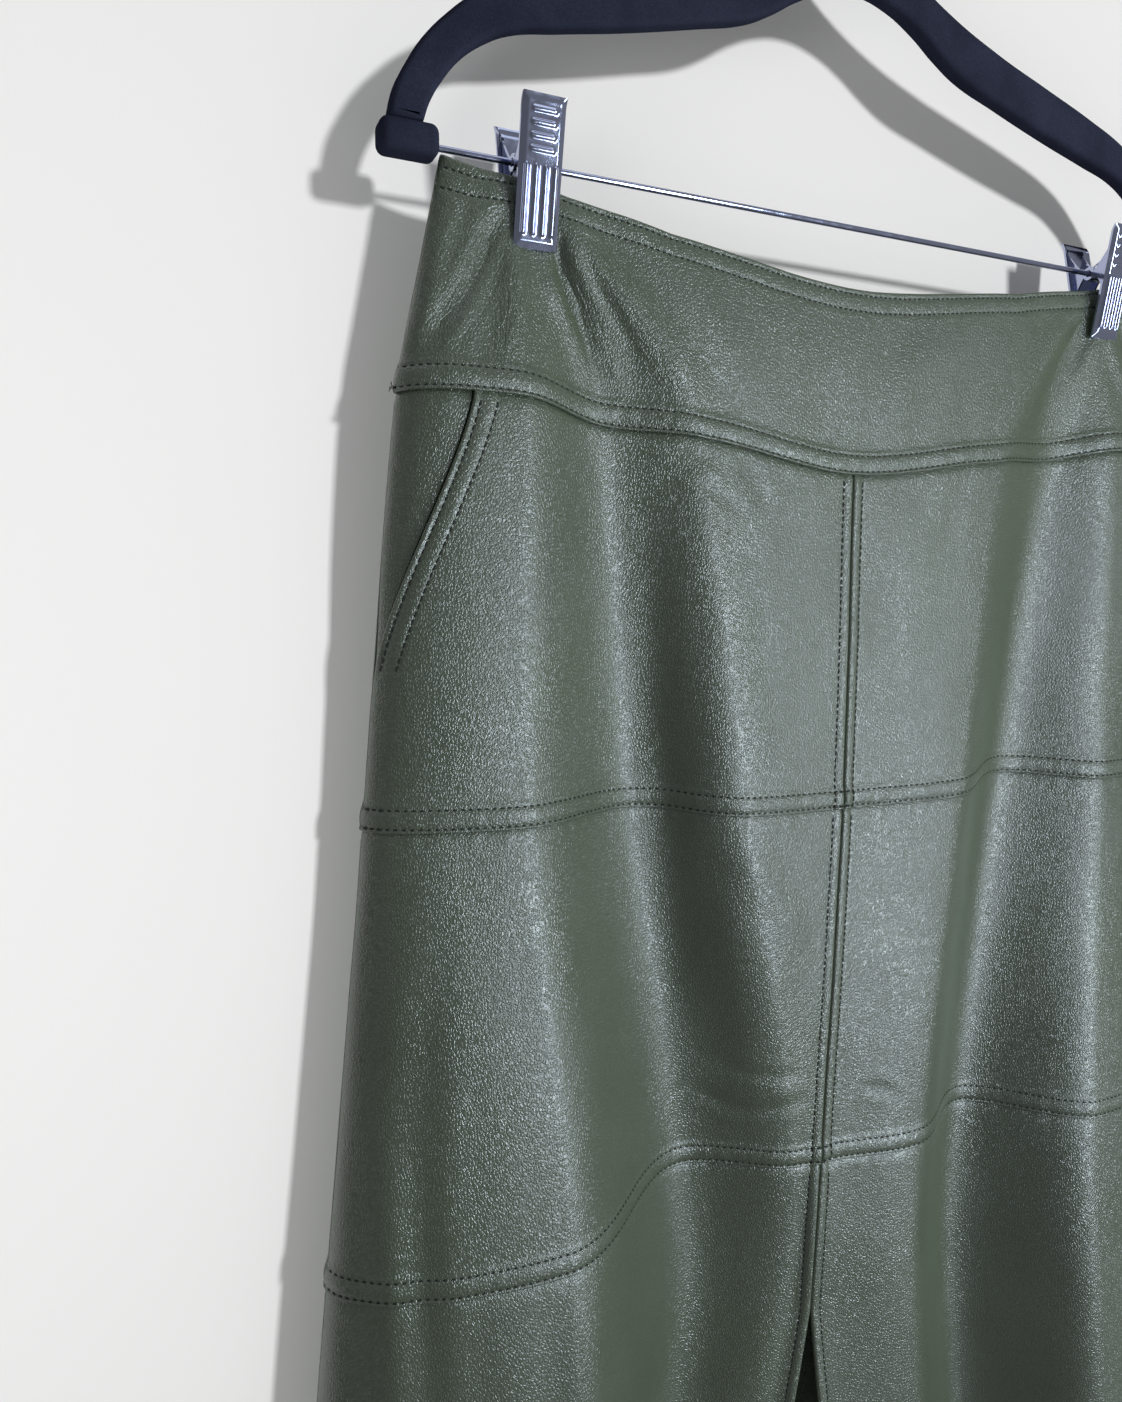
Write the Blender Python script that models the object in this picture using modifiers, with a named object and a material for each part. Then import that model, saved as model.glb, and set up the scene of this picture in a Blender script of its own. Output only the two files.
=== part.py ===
"""A-line skirt of soft green leather, held by the waist in the two clips of a trouser hanger.

The frame: X to the viewer's right, Y away from the viewer, Z up, in metres. The origin is the
inner top of the hanger's hook. The skirt hangs under the hanger's bar, front towards -Y.

The cloth is one smooth form, given by a few folds that run from the waist to the hem. The
panels are walls cut from that form along the real seams: a yoke and three tiers.
"""
import math

import bmesh
import bpy
from mathutils import Matrix, Vector

MM = 0.001
SIDES = ((-1, "left"), (1, "right"))   # the viewer's left and right

# ---- driving sizes, in millimetres -------------------------------------------------------
WALL = 1.4            # leather with its backing
SEAM_GAP = 0.3        # kept between neighbouring pieces
LAP_RISE = 0.9        # a seam's turned-in edge stands this far out of the panel
LAP_DEPTH = 10.5      # depth of that edge, both rows of stitching in it
LAP_SLOPE = 1.5

BAR_RADIUS = 1.25
BAR_Z = -190.5
BAR_HALF = 190.5      # the bar ends against the caps' cheeks
CAP_SIZE = (22.0, 12.0, 11.6)
CAP_CENTRE = (201.8, 0.0, -189.7)
CAP_ROUND = 3.2
ARM_HALF_THICK = 4.0
ARM_ROUND = 2.4
HOOK_WIRE = 1.8       # radius of the hook's wire
HOOK_INSIDE = 20.0    # radius of the hook's bend, inside
NECK_TOP = -66.0

CLIP_X = 154.2
CLIP_WIDTH = 17.5
CLIP_TOP_Z = -171.5
CLIP_BOTTOM_Z = -222.5
CLIP_TOP_Y = 16.0     # outer face of a jaw at its top and at its bottom
CLIP_BOTTOM_Y = 6.0
JAW_THICK = 1.1
EAR_THICK = 0.9
EAR_WALL = 1.2        # what is left of an ear beyond its bore
SPRING_RADIUS = 3.4
EAR_HALF = 3.3        # half the height of an ear round the bar
BORE_RADIUS = BAR_RADIUS + 0.35

SLIDER_SIZE = (5.4, 2.6, 9.0)
SLIDER_CLEAR = 0.4    # between the slider's face and the pull tab's eye
PIN_RADIUS = 0.7      # the pin between the zip slider's ears, along X
PIN_Y = 10.6
PIN_Z = -222.0
ZIP_EAR_SIZE = (0.8, 4.9, 2.6)
EYE_OUTER = 1.9       # the pull tab's rolled eye round the pin
EYE_BORE = PIN_RADIUS + 0.35
EYE_WIDTH = 2.6
NECK_LENGTH = 2.8     # from the pin's axis to the tab's shoulders
PULL_SIZE = (4.4, 1.1, 22.0)

# ---- the cloth's form, in millimetres ----------------------------------------------------
# Levels down the skirt. "drop" is measured along the side seam from the waist edge.
LEVELS = ("waist", "clip", "yoke", "hip", "low", "slit", "hem")
DROPS = (0, 36, 86, 250, 430, 505, 748)
YOKE, HIP, LOW, SLIT, HEM = DROPS[2:]

# The side seam at each level, and how blunt the cloth turns round it (1 is an ellipse).
# Columns: x, y, z, turn.
SIDE = (
    (189.6, 0.0, -192.4, 0.50),    # waist
    (197.0, 0.6, -228.0, 0.55),    # clip
    (206.5, 4.0, -278.5, 0.80),    # yoke
    (220.0, 11.0, -442.5, 1.00),   # hip
    (237.5, 10.0, -622.5, 1.00),   # low
    (244.5, 10.0, -697.0, 1.00),   # slit
    (266.0, 8.0, -940.0, 1.00),    # hem
)

# The folds of each half, from the side to the middle: a ridge under the clip, the valley
# beside it, the crown where the valley ends, and the centre line. A row is a level, and each
# fold in it is (x, y, z). Below the slit's top a front flap's centre line is its free edge.
FOLDS = ("ridge", "valley", "crown", "centre")
FOLD_PLACES = (0.68, 0.42, 0.20, 0.0)   # where each lies across a half; the side seam is 1
FRONT_LEFT = (
    ((-163, -4.2, -196.9), (-140, -3.4, -200.6), (-95, -4.4, -207.8), (0, -4.2, -217.6)),
    ((-161, -4.6, -229.0), (-138, -2.0, -231.5), (-90, -6.5, -239.5), (0, -5.0, -250.5)),
    ((-161, -9.0, -278.0), (-121, 4.0, -284.5), (-78, -6.0, -288.0), (0, -4.0, -298.0)),
    ((-161, -8.0, -443.5), (-99, 17.0, -444.0), (-54, -6.0, -448.0), (-1, -3.0, -449.0)),
    ((-147, -22.0, -623.0), (-67, 27.0, -620.0), (-14, 6.0, -622.5), (-3, 4.0, -622.5)),
    ((-150, -27.0, -697.0), (-62, 28.0, -695.5), (-17, 9.0, -697.0), (-6, 5.0, -697.0)),
    ((-172, -36.0, -940.0), (-104, 23.0, -938.0), (-68, 14.0, -940.0), (-52, 9.0, -940.0)),
)
FRONT_RIGHT = (
    ((163, -4.2, -196.9), (140, -3.4, -200.6), (95, -4.4, -207.8), (0, -4.2, -217.6)),
    ((161, -4.6, -229.0), (137, -2.0, -231.5), (93, -6.0, -239.5), (0, -5.0, -250.5)),
    ((163, -8.5, -278.0), (125, 3.0, -284.0), (84, -6.0, -288.0), (0, -4.0, -298.0)),
    ((165, -9.0, -445.0), (112, 14.0, -442.0), (66, -6.0, -448.0), (-1, -3.0, -449.0)),
    ((158, -19.0, -622.8), (98, 20.0, -620.0), (50, -3.0, -622.5), (-3, 4.0, -622.5)),
    ((160, -23.0, -697.0), (98, 22.0, -695.5), (48, -4.0, -697.0), (-6, 5.0, -697.0)),
    ((174, -33.0, -940.0), (120, 17.0, -938.0), (66, -10.0, -940.0), (20, -10.0, -940.0)),
)

BACK = (
    ((163, 4.2, -196.9), (140, 3.4, -200.4), (95, 4.6, -206.0), (0, 4.6, -215.0)),
    ((162, 4.6, -229.0), (138, 2.8, -231.5), (88, 7.0, -239.0), (0, 6.5, -248.5)),
    ((166, 12.0, -278.0), (124, 8.5, -284.0), (80, 13.0, -287.5), (0, 12.5, -296.0)),
    ((170, 30.0, -443.5), (112, 27.5, -444.5), (58, 31.0, -446.5), (0, 29.5, -447.5)),
    ((178, 32.0, -622.5), (118, 30.5, -622.5), (66, 33.5, -622.5), (0, 32.5, -622.5)),
    ((181, 32.5, -697.0), (120, 31.0, -697.0), (68, 34.0, -697.0), (0, 33.0, -697.0)),
    ((190, 33.5, -940.0), (126, 31.0, -940.0), (72, 34.5, -940.0), (0, 33.5, -940.0)),
)

# The slanted pocket opens from the yoke seam down to the side seam.
POCKET_TOP = 0.750
POCKET_DROP = 194.0
POCKET_BEND = 1.3
POCKET_SHARES = (0.0, 0.25, 0.5, 0.68, 0.82, 0.91, 0.96)   # rows down its edge, as shares of it

# The hanger arm's outline on the viewer's left, from the middle of its underside round the
# end to the top of the neck.
ARM_OUTLINE = (
    (0, -93), (-17, -96), (-31.3, -102.5), (-44.3, -110.7), (-57.5, -117.5), (-80.5, -124.2),
    (-114.4, -133.2), (-141.7, -139.6), (-161.6, -144.6), (-172.3, -150.2), (-181.6, -157.8),
    (-188.2, -166.3), (-193.8, -176), (-196.4, -183.6), (-209.6, -183.6), (-207, -173),
    (-202.6, -164), (-196.6, -154.5), (-187.4, -144.2), (-178, -136), (-163, -127.5),
    (-140, -119.5), (-110, -111), (-78, -102), (-48, -91), (-26, -79.5), (-12, -69.5), (-8, -66),
)
SHARP_POINTS = (13, 14, 27)

# name: base colour, roughness, metallic
MATERIALS = {
    "leather": ((0.118, 0.135, 0.108), 0.42, 0.0),
    "flocked_plastic": ((0.018, 0.019, 0.028), 0.95, 0.0),
    "chrome": ((0.78, 0.79, 0.82), 0.12, 1.0),
    "zip_metal": ((0.16, 0.165, 0.15), 0.35, 1.0),
}


# ---- helpers ------------------------------------------------------------------------------
def clear_scene():
    for ob in list(bpy.data.objects):
        bpy.data.objects.remove(ob, do_unlink=True)


def new_collection(name):
    collection = bpy.data.collections.new(name)
    bpy.context.scene.collection.children.link(collection)
    return collection


def make_materials():
    made = {}
    for name, (colour, roughness, metallic) in MATERIALS.items():
        material = bpy.data.materials.new(name)
        material.use_nodes = True
        shader = material.node_tree.nodes["Principled BSDF"]
        shader.inputs["Base Color"].default_value = (*colour, 1.0)
        shader.inputs["Roughness"].default_value = roughness
        shader.inputs["Metallic"].default_value = metallic
        made[name] = material
    return made


def add_object(name, data, material):
    data.materials.append(MADE[material])
    ob = bpy.data.objects.new(name, data)
    PARTS.objects.link(ob)
    return ob


def mesh_object(name, bm, material):
    bmesh.ops.recalc_face_normals(bm, faces=bm.faces)
    mesh = bpy.data.meshes.new(name)
    bm.to_mesh(mesh)
    bm.free()
    mesh.shade_smooth()
    mesh.set_sharp_from_angle(angle=math.radians(40))
    return add_object(name, mesh, material)


def cutter(name, bm):
    mesh = bpy.data.meshes.new(name)
    bmesh.ops.recalc_face_normals(bm, faces=bm.faces)
    bm.to_mesh(mesh)
    bm.free()
    ob = bpy.data.objects.new(name, mesh)
    CUTTERS.objects.link(ob)
    ob.hide_render = True
    ob.display_type = "WIRE"
    return ob


def boolean(ob, other, operation):
    modifier = ob.modifiers.new(other.name, "BOOLEAN")
    modifier.operation = operation
    modifier.object = other


def add_box(bm, centre, size):
    """A box in bm, its centre and size in millimetres. Returns its vertices."""
    scale = Matrix.Diagonal((*(Vector(size) * MM), 1.0))
    place = Matrix.Translation(Vector(centre) * MM) @ scale
    return bmesh.ops.create_cube(bm, size=1.0, matrix=place)["verts"]


def add_rod_along_x(bm, centre, radius, length, segments):
    """A cylinder in bm along X, its sizes in millimetres."""
    place = Matrix.Translation(Vector(centre) * MM) @ Matrix.Rotation(math.pi / 2, 4, "Y")
    bmesh.ops.create_cone(bm, cap_ends=True, segments=segments, radius1=radius * MM,
                          radius2=radius * MM, depth=length * MM, matrix=place)


def soften(ob, width, segments):
    bevel = ob.modifiers.new("soft edges", "BEVEL")
    bevel.width = width * MM
    bevel.segments = segments
    bevel.limit_method = "ANGLE"


# ---- the form of the cloth ----------------------------------------------------------------
def smooth_curve(places, values, at):
    """A smooth line through values at rising places, with even slopes at each of them."""
    last = len(places) - 1
    i = 0
    while i < last - 1 and at > places[i + 1]:
        i += 1

    def slope(k):
        before, after = max(k - 1, 0), min(k + 1, last)
        return (values[after] - values[before]) / (places[after] - places[before])

    width = places[i + 1] - places[i]
    t = min(max((at - places[i]) / width, 0.0), 1.0)
    a = 2 * t ** 3 - 3 * t ** 2 + 1
    b = t ** 3 - 2 * t ** 2 + t
    c = t ** 3 - t ** 2
    return (a * values[i] + b * width * slope(i)
            + (1 - a) * values[i + 1] + c * width * slope(i + 1))


def at_drop(rows, drop, places=DROPS):
    """A table's row at any drop: each number runs smoothly from level to level."""
    return [smooth_curve(places, [row[k] for row in rows], drop) for k in range(len(rows[0]))]


def fold_at(face, half, fold, drop):
    """One fold's (x, y, z) at a drop; half is -1 on the viewer's left and 1 on the right."""
    if face == "back":
        x, y, z = at_drop([row[fold] for row in BACK], drop)
        return half * x, y, z
    rows = [row[fold] for row in (FRONT_LEFT if half < 0 else FRONT_RIGHT)]
    if fold < len(FOLDS) - 1:
        return at_drop(rows, drop)
    top = LEVELS.index("slit")
    if drop <= SLIT:
        return at_drop(rows[:top + 1], drop, DROPS[:top + 1])
    return at_drop(rows[top - 1:], drop, DROPS[top - 1:])


def section(face, half, drop):
    """The side seam and the folds of one half at one drop, as form() uses them."""
    side_x, side_y, side_z, turn = at_drop(SIDE, drop)
    folds = [fold_at(face, half, k, drop) for k in range(len(FOLDS))]
    return (half * side_x, side_y, side_z), turn, folds


def form(face, half, across, cut):
    """A point of the cloth's outer face. across runs from the centre (0) to the side (1)."""
    side, turn, folds = cut
    heights = [folds[k][2] for k in (2, 3, 2, 1, 0)] + [side[2], folds[0][2]]
    z = smooth_curve([-FOLD_PLACES[2], 0.0, *FOLD_PLACES[2::-1], 1.0, 2 - FOLD_PLACES[0]],
                     heights, across)
    if across >= FOLD_PLACES[0]:
        angle = math.pi / 2 * (across - FOLD_PLACES[0]) / (1 - FOLD_PLACES[0])
        x = folds[0][0] + (side[0] - folds[0][0]) * math.sin(angle) ** turn
        y = side[1] + (folds[0][1] - side[1]) * math.cos(angle)
        return Vector((x, y, z))
    k = 0
    while across < FOLD_PLACES[k + 1]:
        k += 1
    t = (FOLD_PLACES[k] - across) / (FOLD_PLACES[k] - FOLD_PLACES[k + 1])
    ease = t * t * (3 - 2 * t)
    near, far = folds[k], folds[k + 1]
    return Vector((near[0] + (far[0] - near[0]) * t, near[1] + (far[1] - near[1]) * ease, z))


def form_and_normal(face, half, across, drop):
    """The outer face's point and its outward direction."""
    step, rise = 0.004, 1.0
    here = section(face, half, drop)
    point = form(face, half, across, here)
    low, high = max(across - step, 0.0), min(across + step, 1.0)
    over = (form(face, half, high, here) - form(face, half, low, here)) * half
    above, below = max(drop - rise, 0.0), min(drop + rise, HEM)
    down = (form(face, half, across, section(face, half, below))
            - form(face, half, across, section(face, half, above)))
    out = over.cross(down).normalized()
    return point, -out if face == "front" else out


def half_columns(half, side_steps, fold_steps):
    """Places across one half, from the viewer's left to right, as (half, across)."""
    places = [1 - (1 - FOLD_PLACES[0]) * i / side_steps for i in range(side_steps)]
    for start, end, steps in zip(FOLD_PLACES, FOLD_PLACES[1:], fold_steps):
        places += [start + (end - start) * i / steps for i in range(steps)]
    places.append(0.0)
    if half > 0:
        places.reverse()
    return [(half, across) for across in places]


def pocket_place(drop):
    """Where the pocket's slanted edge crosses a half at this drop."""
    t = min(max((drop - YOKE) / (POCKET_DROP - YOKE), 0.0), 1.0)
    return POCKET_TOP + (1 - POCKET_TOP) * t ** POCKET_BEND


def beside_pocket(across, drop):
    """Moves a place on the tier under the yoke so that the panel ends at the pocket's edge."""
    start = FOLD_PLACES[0]
    if across <= start:
        return across
    return start + (across - start) * (pocket_place(drop) - start) / (1 - start)


def lap_rise(drop, seam):
    """How far the turned-in edge above a seam stands out of the panel."""
    if seam is None:
        return 0.0
    t = (drop - (seam - LAP_DEPTH - LAP_SLOPE)) / LAP_SLOPE
    return LAP_RISE * min(max(t, 0.0), 1.0)


def tier_rows(top, bottom, count, lapped=True):
    """Drops from one seam to the next, with rows of their own for the turned-in edge."""
    if not lapped:
        return [top + (bottom - top) * i / count for i in range(count + 1)]
    start = bottom - LAP_DEPTH - LAP_SLOPE
    return [top + (start - top) * i / count for i in range(count + 1)] + [bottom - LAP_DEPTH, bottom]


def draw_in(grid, distance):
    """Moves a grid's border towards its inside, which leaves the gap along every seam."""
    rows, columns = len(grid), len(grid[0])
    for first, second in ((0, 1), (rows - 1, rows - 2)):
        for c in range(columns):
            way = (grid[second][c] - grid[first][c]).normalized()
            grid[first][c] = grid[first][c] + way * distance
    for first, second in ((0, 1), (columns - 1, columns - 2)):
        for r in range(rows):
            way = (grid[r][second] - grid[r][first]).normalized()
            grid[r][first] = grid[r][first] + way * distance


def add_sheet(bm, grid):
    """A grid of points as one open sheet of quads."""
    rows, columns = len(grid), len(grid[0])
    verts = bmesh.ops.create_grid(bm, x_segments=columns - 1, y_segments=rows - 1, size=1.0)["verts"]
    for i, vert in enumerate(verts):
        vert.co = grid[i // columns][i % columns] * MM


def panel(name, face, columns, rows, seam=None, place=None):
    """One cut piece of leather as a closed wall: two sheets bridged along their borders."""
    outer, inner = [], []
    for drop in rows:
        outer.append([])
        inner.append([])
        for half, across in columns:
            if place is not None:
                across = place(across, drop)
            point, out = form_and_normal(face, half, across, drop)
            outer[-1].append(point + out * lap_rise(drop, seam))
            inner[-1].append(point - out * WALL)
    bm = bmesh.new()
    for grid in (outer, inner):
        draw_in(grid, SEAM_GAP / 2)
        add_sheet(bm, grid)
    border = [edge for edge in bm.edges if edge.is_boundary]
    bmesh.ops.bridge_loops(bm, edges=border)
    return mesh_object(name, bm, "leather")


# ---- the skirt's pieces -------------------------------------------------------------------
def make_front():
    halves = {-1: half_columns(-1, 5, (4, 4, 3)), 1: half_columns(1, 5, (4, 4, 3))}
    panel("front_yoke", "front", halves[-1] + halves[1][1:], tier_rows(0, YOKE, 5), YOKE)
    pocket_rows = [YOKE + (POCKET_DROP - YOKE) * share for share in POCKET_SHARES]
    lower_rows = tier_rows(POCKET_DROP, HIP, 3)
    side_steps = 3
    for half, side in SIDES:
        panel("front_upper_" + side, "front", halves[half], pocket_rows + lower_rows, HIP,
              beside_pocket)
        strip = [(half, i / side_steps) for i in range(side_steps + 1)]
        if half < 0:
            strip.reverse()
        panel("pocket_side_" + side, "front", strip, pocket_rows,
              place=lambda t, drop: pocket_place(drop) + (1 - pocket_place(drop)) * t)
        panel("front_middle_" + side, "front", halves[half], tier_rows(HIP, LOW, 7), LOW)
        panel("front_lower_" + side, "front", halves[half], tier_rows(LOW, HEM, 9, lapped=False))


def make_back():
    halves = {-1: half_columns(-1, 4, (3, 3, 2)), 1: half_columns(1, 4, (3, 3, 2))}
    for half, side in SIDES:
        panel("back_yoke_" + side, "back", halves[half], tier_rows(0, YOKE, 5), YOKE)
        panel("back_upper_" + side, "back", halves[half], tier_rows(YOKE, HIP, 4), HIP)
        panel("back_middle_" + side, "back", halves[half], tier_rows(HIP, LOW, 4), LOW)
        panel("back_lower_" + side, "back", halves[half], tier_rows(LOW, HEM, 5, lapped=False))


def make_zip():
    """The hidden zip's slider at the back's top, and the pull tab that swings on its pin."""
    slider_face = PIN_Y - EYE_OUTER - SLIDER_CLEAR
    bm = bmesh.new()
    add_box(bm, (0, slider_face - SLIDER_SIZE[1] / 2, PIN_Z), SLIDER_SIZE)
    slider = mesh_object("zip_slider", bm, "zip_metal")
    ear_x = EYE_WIDTH / 2 + SEAM_GAP + ZIP_EAR_SIZE[0] / 2
    ear_y = slider_face - 1.0 + ZIP_EAR_SIZE[1] / 2
    for side in (-1, 1):
        bm = bmesh.new()
        add_box(bm, (side * ear_x, ear_y, PIN_Z), ZIP_EAR_SIZE)
        boolean(slider, cutter("zip_ear", bm), "UNION")
    bm = bmesh.new()
    add_rod_along_x(bm, (0, PIN_Y, PIN_Z), PIN_RADIUS, 2 * ear_x, 12)
    boolean(slider, cutter("zip_pin", bm), "UNION")

    bm = bmesh.new()
    add_rod_along_x(bm, (0, PIN_Y, PIN_Z), EYE_OUTER, EYE_WIDTH, 20)
    pull = mesh_object("zip_pull", bm, "zip_metal")
    bm = bmesh.new()
    add_box(bm, (0, PIN_Y, PIN_Z - NECK_LENGTH + 0.2), (EYE_WIDTH, PULL_SIZE[1], NECK_LENGTH))
    boolean(pull, cutter("zip_neck", bm), "UNION")
    bm = bmesh.new()
    add_box(bm, (0, PIN_Y, PIN_Z - NECK_LENGTH - PULL_SIZE[2] / 2), PULL_SIZE)
    boolean(pull, cutter("zip_tab", bm), "UNION")
    bm = bmesh.new()
    add_rod_along_x(bm, (0, PIN_Y, PIN_Z), EYE_BORE, 2 * EYE_WIDTH, 16)
    boolean(pull, cutter("zip_bore", bm), "DIFFERENCE")


# ---- the hanger's pieces ------------------------------------------------------------------
def make_arm():
    curve = bpy.data.curves.new("hanger_arm", "CURVE")
    curve.dimensions = "2D"
    curve.fill_mode = "BOTH"
    curve.extrude = (ARM_HALF_THICK - ARM_ROUND) * MM
    curve.bevel_depth = ARM_ROUND * MM
    curve.bevel_resolution = 1
    curve.offset = -ARM_ROUND * MM
    curve.resolution_u = 2
    left = list(ARM_OUTLINE)
    sharp = [i in SHARP_POINTS for i in range(len(left))]
    right = [(-x, z) for x, z in left[:0:-1]]
    sharp += sharp[:0:-1]
    spline = curve.splines.new("BEZIER")
    spline.bezier_points.add(len(left) + len(right) - 1)
    for point, (x, z), corner in zip(spline.bezier_points, left + right, sharp):
        point.co = (x * MM, z * MM, 0.0)
        kind = "VECTOR" if corner else "AUTO"
        point.handle_left_type = kind
        point.handle_right_type = kind
    spline.use_cyclic_u = True
    arm = add_object("hanger_arm", curve, "flocked_plastic")
    arm.rotation_euler = (math.pi / 2, 0.0, 0.0)


def make_caps():
    for half, side in SIDES:
        bm = bmesh.new()
        add_box(bm, (half * CAP_CENTRE[0], CAP_CENTRE[1], CAP_CENTRE[2]), CAP_SIZE)
        soften(mesh_object("hanger_cap_" + side, bm, "flocked_plastic"), CAP_ROUND, 3)


def make_bar():
    bm = bmesh.new()
    add_rod_along_x(bm, (0, 0, BAR_Z), BAR_RADIUS, 2 * BAR_HALF, 12)
    mesh_object("hanger_bar", bm, "chrome")


def hook_route():
    """The wire's middle line: up the stem, out to the right, round over the top to the left."""
    radius = HOOK_INSIDE + HOOK_WIRE
    middle_z = HOOK_WIRE - radius
    start = math.radians(-60)
    tip = math.radians(205)
    stem_z = middle_z + 2 * radius * math.sin(start)
    points = [(0.0, NECK_TOP + SEAM_GAP), (0.0, (NECK_TOP + stem_z) / 2)]
    for i in range(6):
        turn = -start * i / 5
        points.append((radius - radius * math.cos(turn), stem_z + radius * math.sin(turn)))
    for i in range(1, 23):
        angle = start + (tip - start) * i / 22
        points.append((radius * math.cos(angle), middle_z + radius * math.sin(angle)))
    return points


def make_hook():
    curve = bpy.data.curves.new("hanger_hook", "CURVE")
    curve.dimensions = "3D"
    curve.bevel_depth = HOOK_WIRE * MM
    curve.bevel_resolution = 2
    curve.use_fill_caps = True
    route = hook_route()
    spline = curve.splines.new("POLY")
    spline.points.add(len(route) - 1)
    for point, (x, z) in zip(spline.points, route):
        point.co = (x * MM, 0.0, z * MM, 1.0)
    add_object("hanger_hook", curve, "chrome")


def jaw(name, x, facing, ear_inset):
    """A clip's plate, leaning in towards the waist, with two ears that carry it on the bar."""
    bm = bmesh.new()
    height = CLIP_TOP_Z - CLIP_BOTTOM_Z
    lean = CLIP_TOP_Y - CLIP_BOTTOM_Y
    middle_y = (CLIP_TOP_Y + CLIP_BOTTOM_Y - JAW_THICK) / 2
    corners = add_box(bm, (x, 0, (CLIP_TOP_Z + CLIP_BOTTOM_Z) / 2), (CLIP_WIDTH, JAW_THICK, height))
    for vert in corners:
        share = (vert.co.z / MM - CLIP_BOTTOM_Z) / height - 0.5
        vert.co.y += facing * (middle_y + lean * share) * MM
    plate = mesh_object(name, bm, "chrome")
    plate_y = CLIP_BOTTOM_Y + lean * (BAR_Z - CLIP_BOTTOM_Z) / height - JAW_THICK / 2
    inner_y = -(BORE_RADIUS + EAR_WALL)
    for side in (-1, 1):
        bm = bmesh.new()
        ear_x = x + side * (CLIP_WIDTH / 2 - EAR_THICK / 2 - ear_inset)
        centre = (ear_x, facing * (plate_y + inner_y) / 2, BAR_Z)
        add_box(bm, centre, (EAR_THICK, plate_y - inner_y, 2 * EAR_HALF))
        boolean(plate, cutter(name + "_ear", bm), "UNION")
    bm = bmesh.new()
    add_rod_along_x(bm, (x, 0, BAR_Z), BORE_RADIUS, 2 * CLIP_WIDTH, 16)
    boolean(plate, cutter(name + "_bore", bm), "DIFFERENCE")


def make_clips():
    for half, side in SIDES:
        x = half * CLIP_X
        jaw("clip_%s_front" % side, x, -1, 0.0)
        jaw("clip_%s_back" % side, x, 1, EAR_THICK + SEAM_GAP)
        length = CLIP_WIDTH - 4 * (EAR_THICK + SEAM_GAP)
        bm = bmesh.new()
        add_rod_along_x(bm, (x, 0, BAR_Z), SPRING_RADIUS, length, 20)
        spring = mesh_object("clip_%s_spring" % side, bm, "chrome")
        bm = bmesh.new()
        add_rod_along_x(bm, (x, 0, BAR_Z), BORE_RADIUS, 2 * length, 16)
        boolean(spring, cutter("clip_%s_coil" % side, bm), "DIFFERENCE")


clear_scene()
PARTS = new_collection("a_line_skirt")
CUTTERS = new_collection("cutters")
MADE = make_materials()
make_front()
make_back()
make_zip()
make_arm()
make_caps()
make_bar()
make_hook()
make_clips()
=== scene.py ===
"""Dresses the a-line skirt and its clip hanger: leather, sewing, chrome, flock and zip.

Each leather panel is a fine thin wall on its solid's form. The folds, pinches and puckers are
given one by one, the laps, seams and turned edges follow the cut. Distances along the cloth are
in millimetres until a mesh is made, and the viewer's left and right give the names.
"""
import math
from types import SimpleNamespace

import bmesh
import bpy
import numpy as np
from bpy.props import FloatProperty, FloatVectorProperty, PointerProperty
from mathutils import Matrix, Vector


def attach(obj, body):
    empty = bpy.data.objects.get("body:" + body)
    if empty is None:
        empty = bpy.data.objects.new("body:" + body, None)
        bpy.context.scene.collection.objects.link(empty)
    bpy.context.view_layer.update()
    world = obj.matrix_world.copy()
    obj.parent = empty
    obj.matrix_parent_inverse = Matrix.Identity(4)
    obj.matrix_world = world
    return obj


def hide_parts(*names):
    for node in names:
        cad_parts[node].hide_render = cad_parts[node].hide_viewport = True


bl_info = {
    "name": "A-line skirt on a clip hanger",
    "version": (1, 0, 0),
    "blender": (4, 5, 0),
    "location": "3D View > Sidebar > Skirt",
    "description": "Leather, sewing, hanger and stage of an a-line skirt",
    "category": "Object",
}

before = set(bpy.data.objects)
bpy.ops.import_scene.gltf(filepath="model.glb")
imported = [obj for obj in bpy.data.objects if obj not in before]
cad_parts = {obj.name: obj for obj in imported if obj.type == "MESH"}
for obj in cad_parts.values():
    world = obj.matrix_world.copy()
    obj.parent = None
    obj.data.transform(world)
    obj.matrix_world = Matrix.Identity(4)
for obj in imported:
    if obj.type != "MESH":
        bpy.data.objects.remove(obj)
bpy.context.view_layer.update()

MM = 0.001
BODY = "skirt_and_hanger"
PULL_BODY = "pull_tab"
HALVES = ((-1, "left"), (1, "right"))   # the viewer's left and right

# ---- the skirt's sizes, in millimetres -----------------------------------------------------
WALL = 1.4             # leather with its backing
GAP = 0.15             # each panel stops this far short of the seam line
EDGE_ROUND = 0.7       # radius of a turned edge
STEEPEST = 0.12        # nearer to the edge than this the round falls no further
STITCH_PITCH = 3.1
ROW_MARGIN = 1.6       # a row that runs down keeps this far from its ends
UNDER_SEAM = 1.5       # and starts this far under a level seam
GRID_STEP = STITCH_PITCH / 2    # between columns and rows of the front
BACK_STEP = 3.1                 # between rows of the back
LOWER_STEP = 1.4 * GRID_STEP    # between columns of the lower tiers
NEAR_ROW = 1.6         # a lap's rows of stitching, up from its folded edge
FAR_ROW = 8.9
CENTRE_ROW = 5.2       # the row beside the centre seam
POCKET_ROWS = (3.2, 9.8)
WAIST_ROWS = (2.6, 10.2)
WAIST_SHIFT = 1.7      # both rows lie this much lower beside the side seam
HEM_ROW = 10.0

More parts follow.
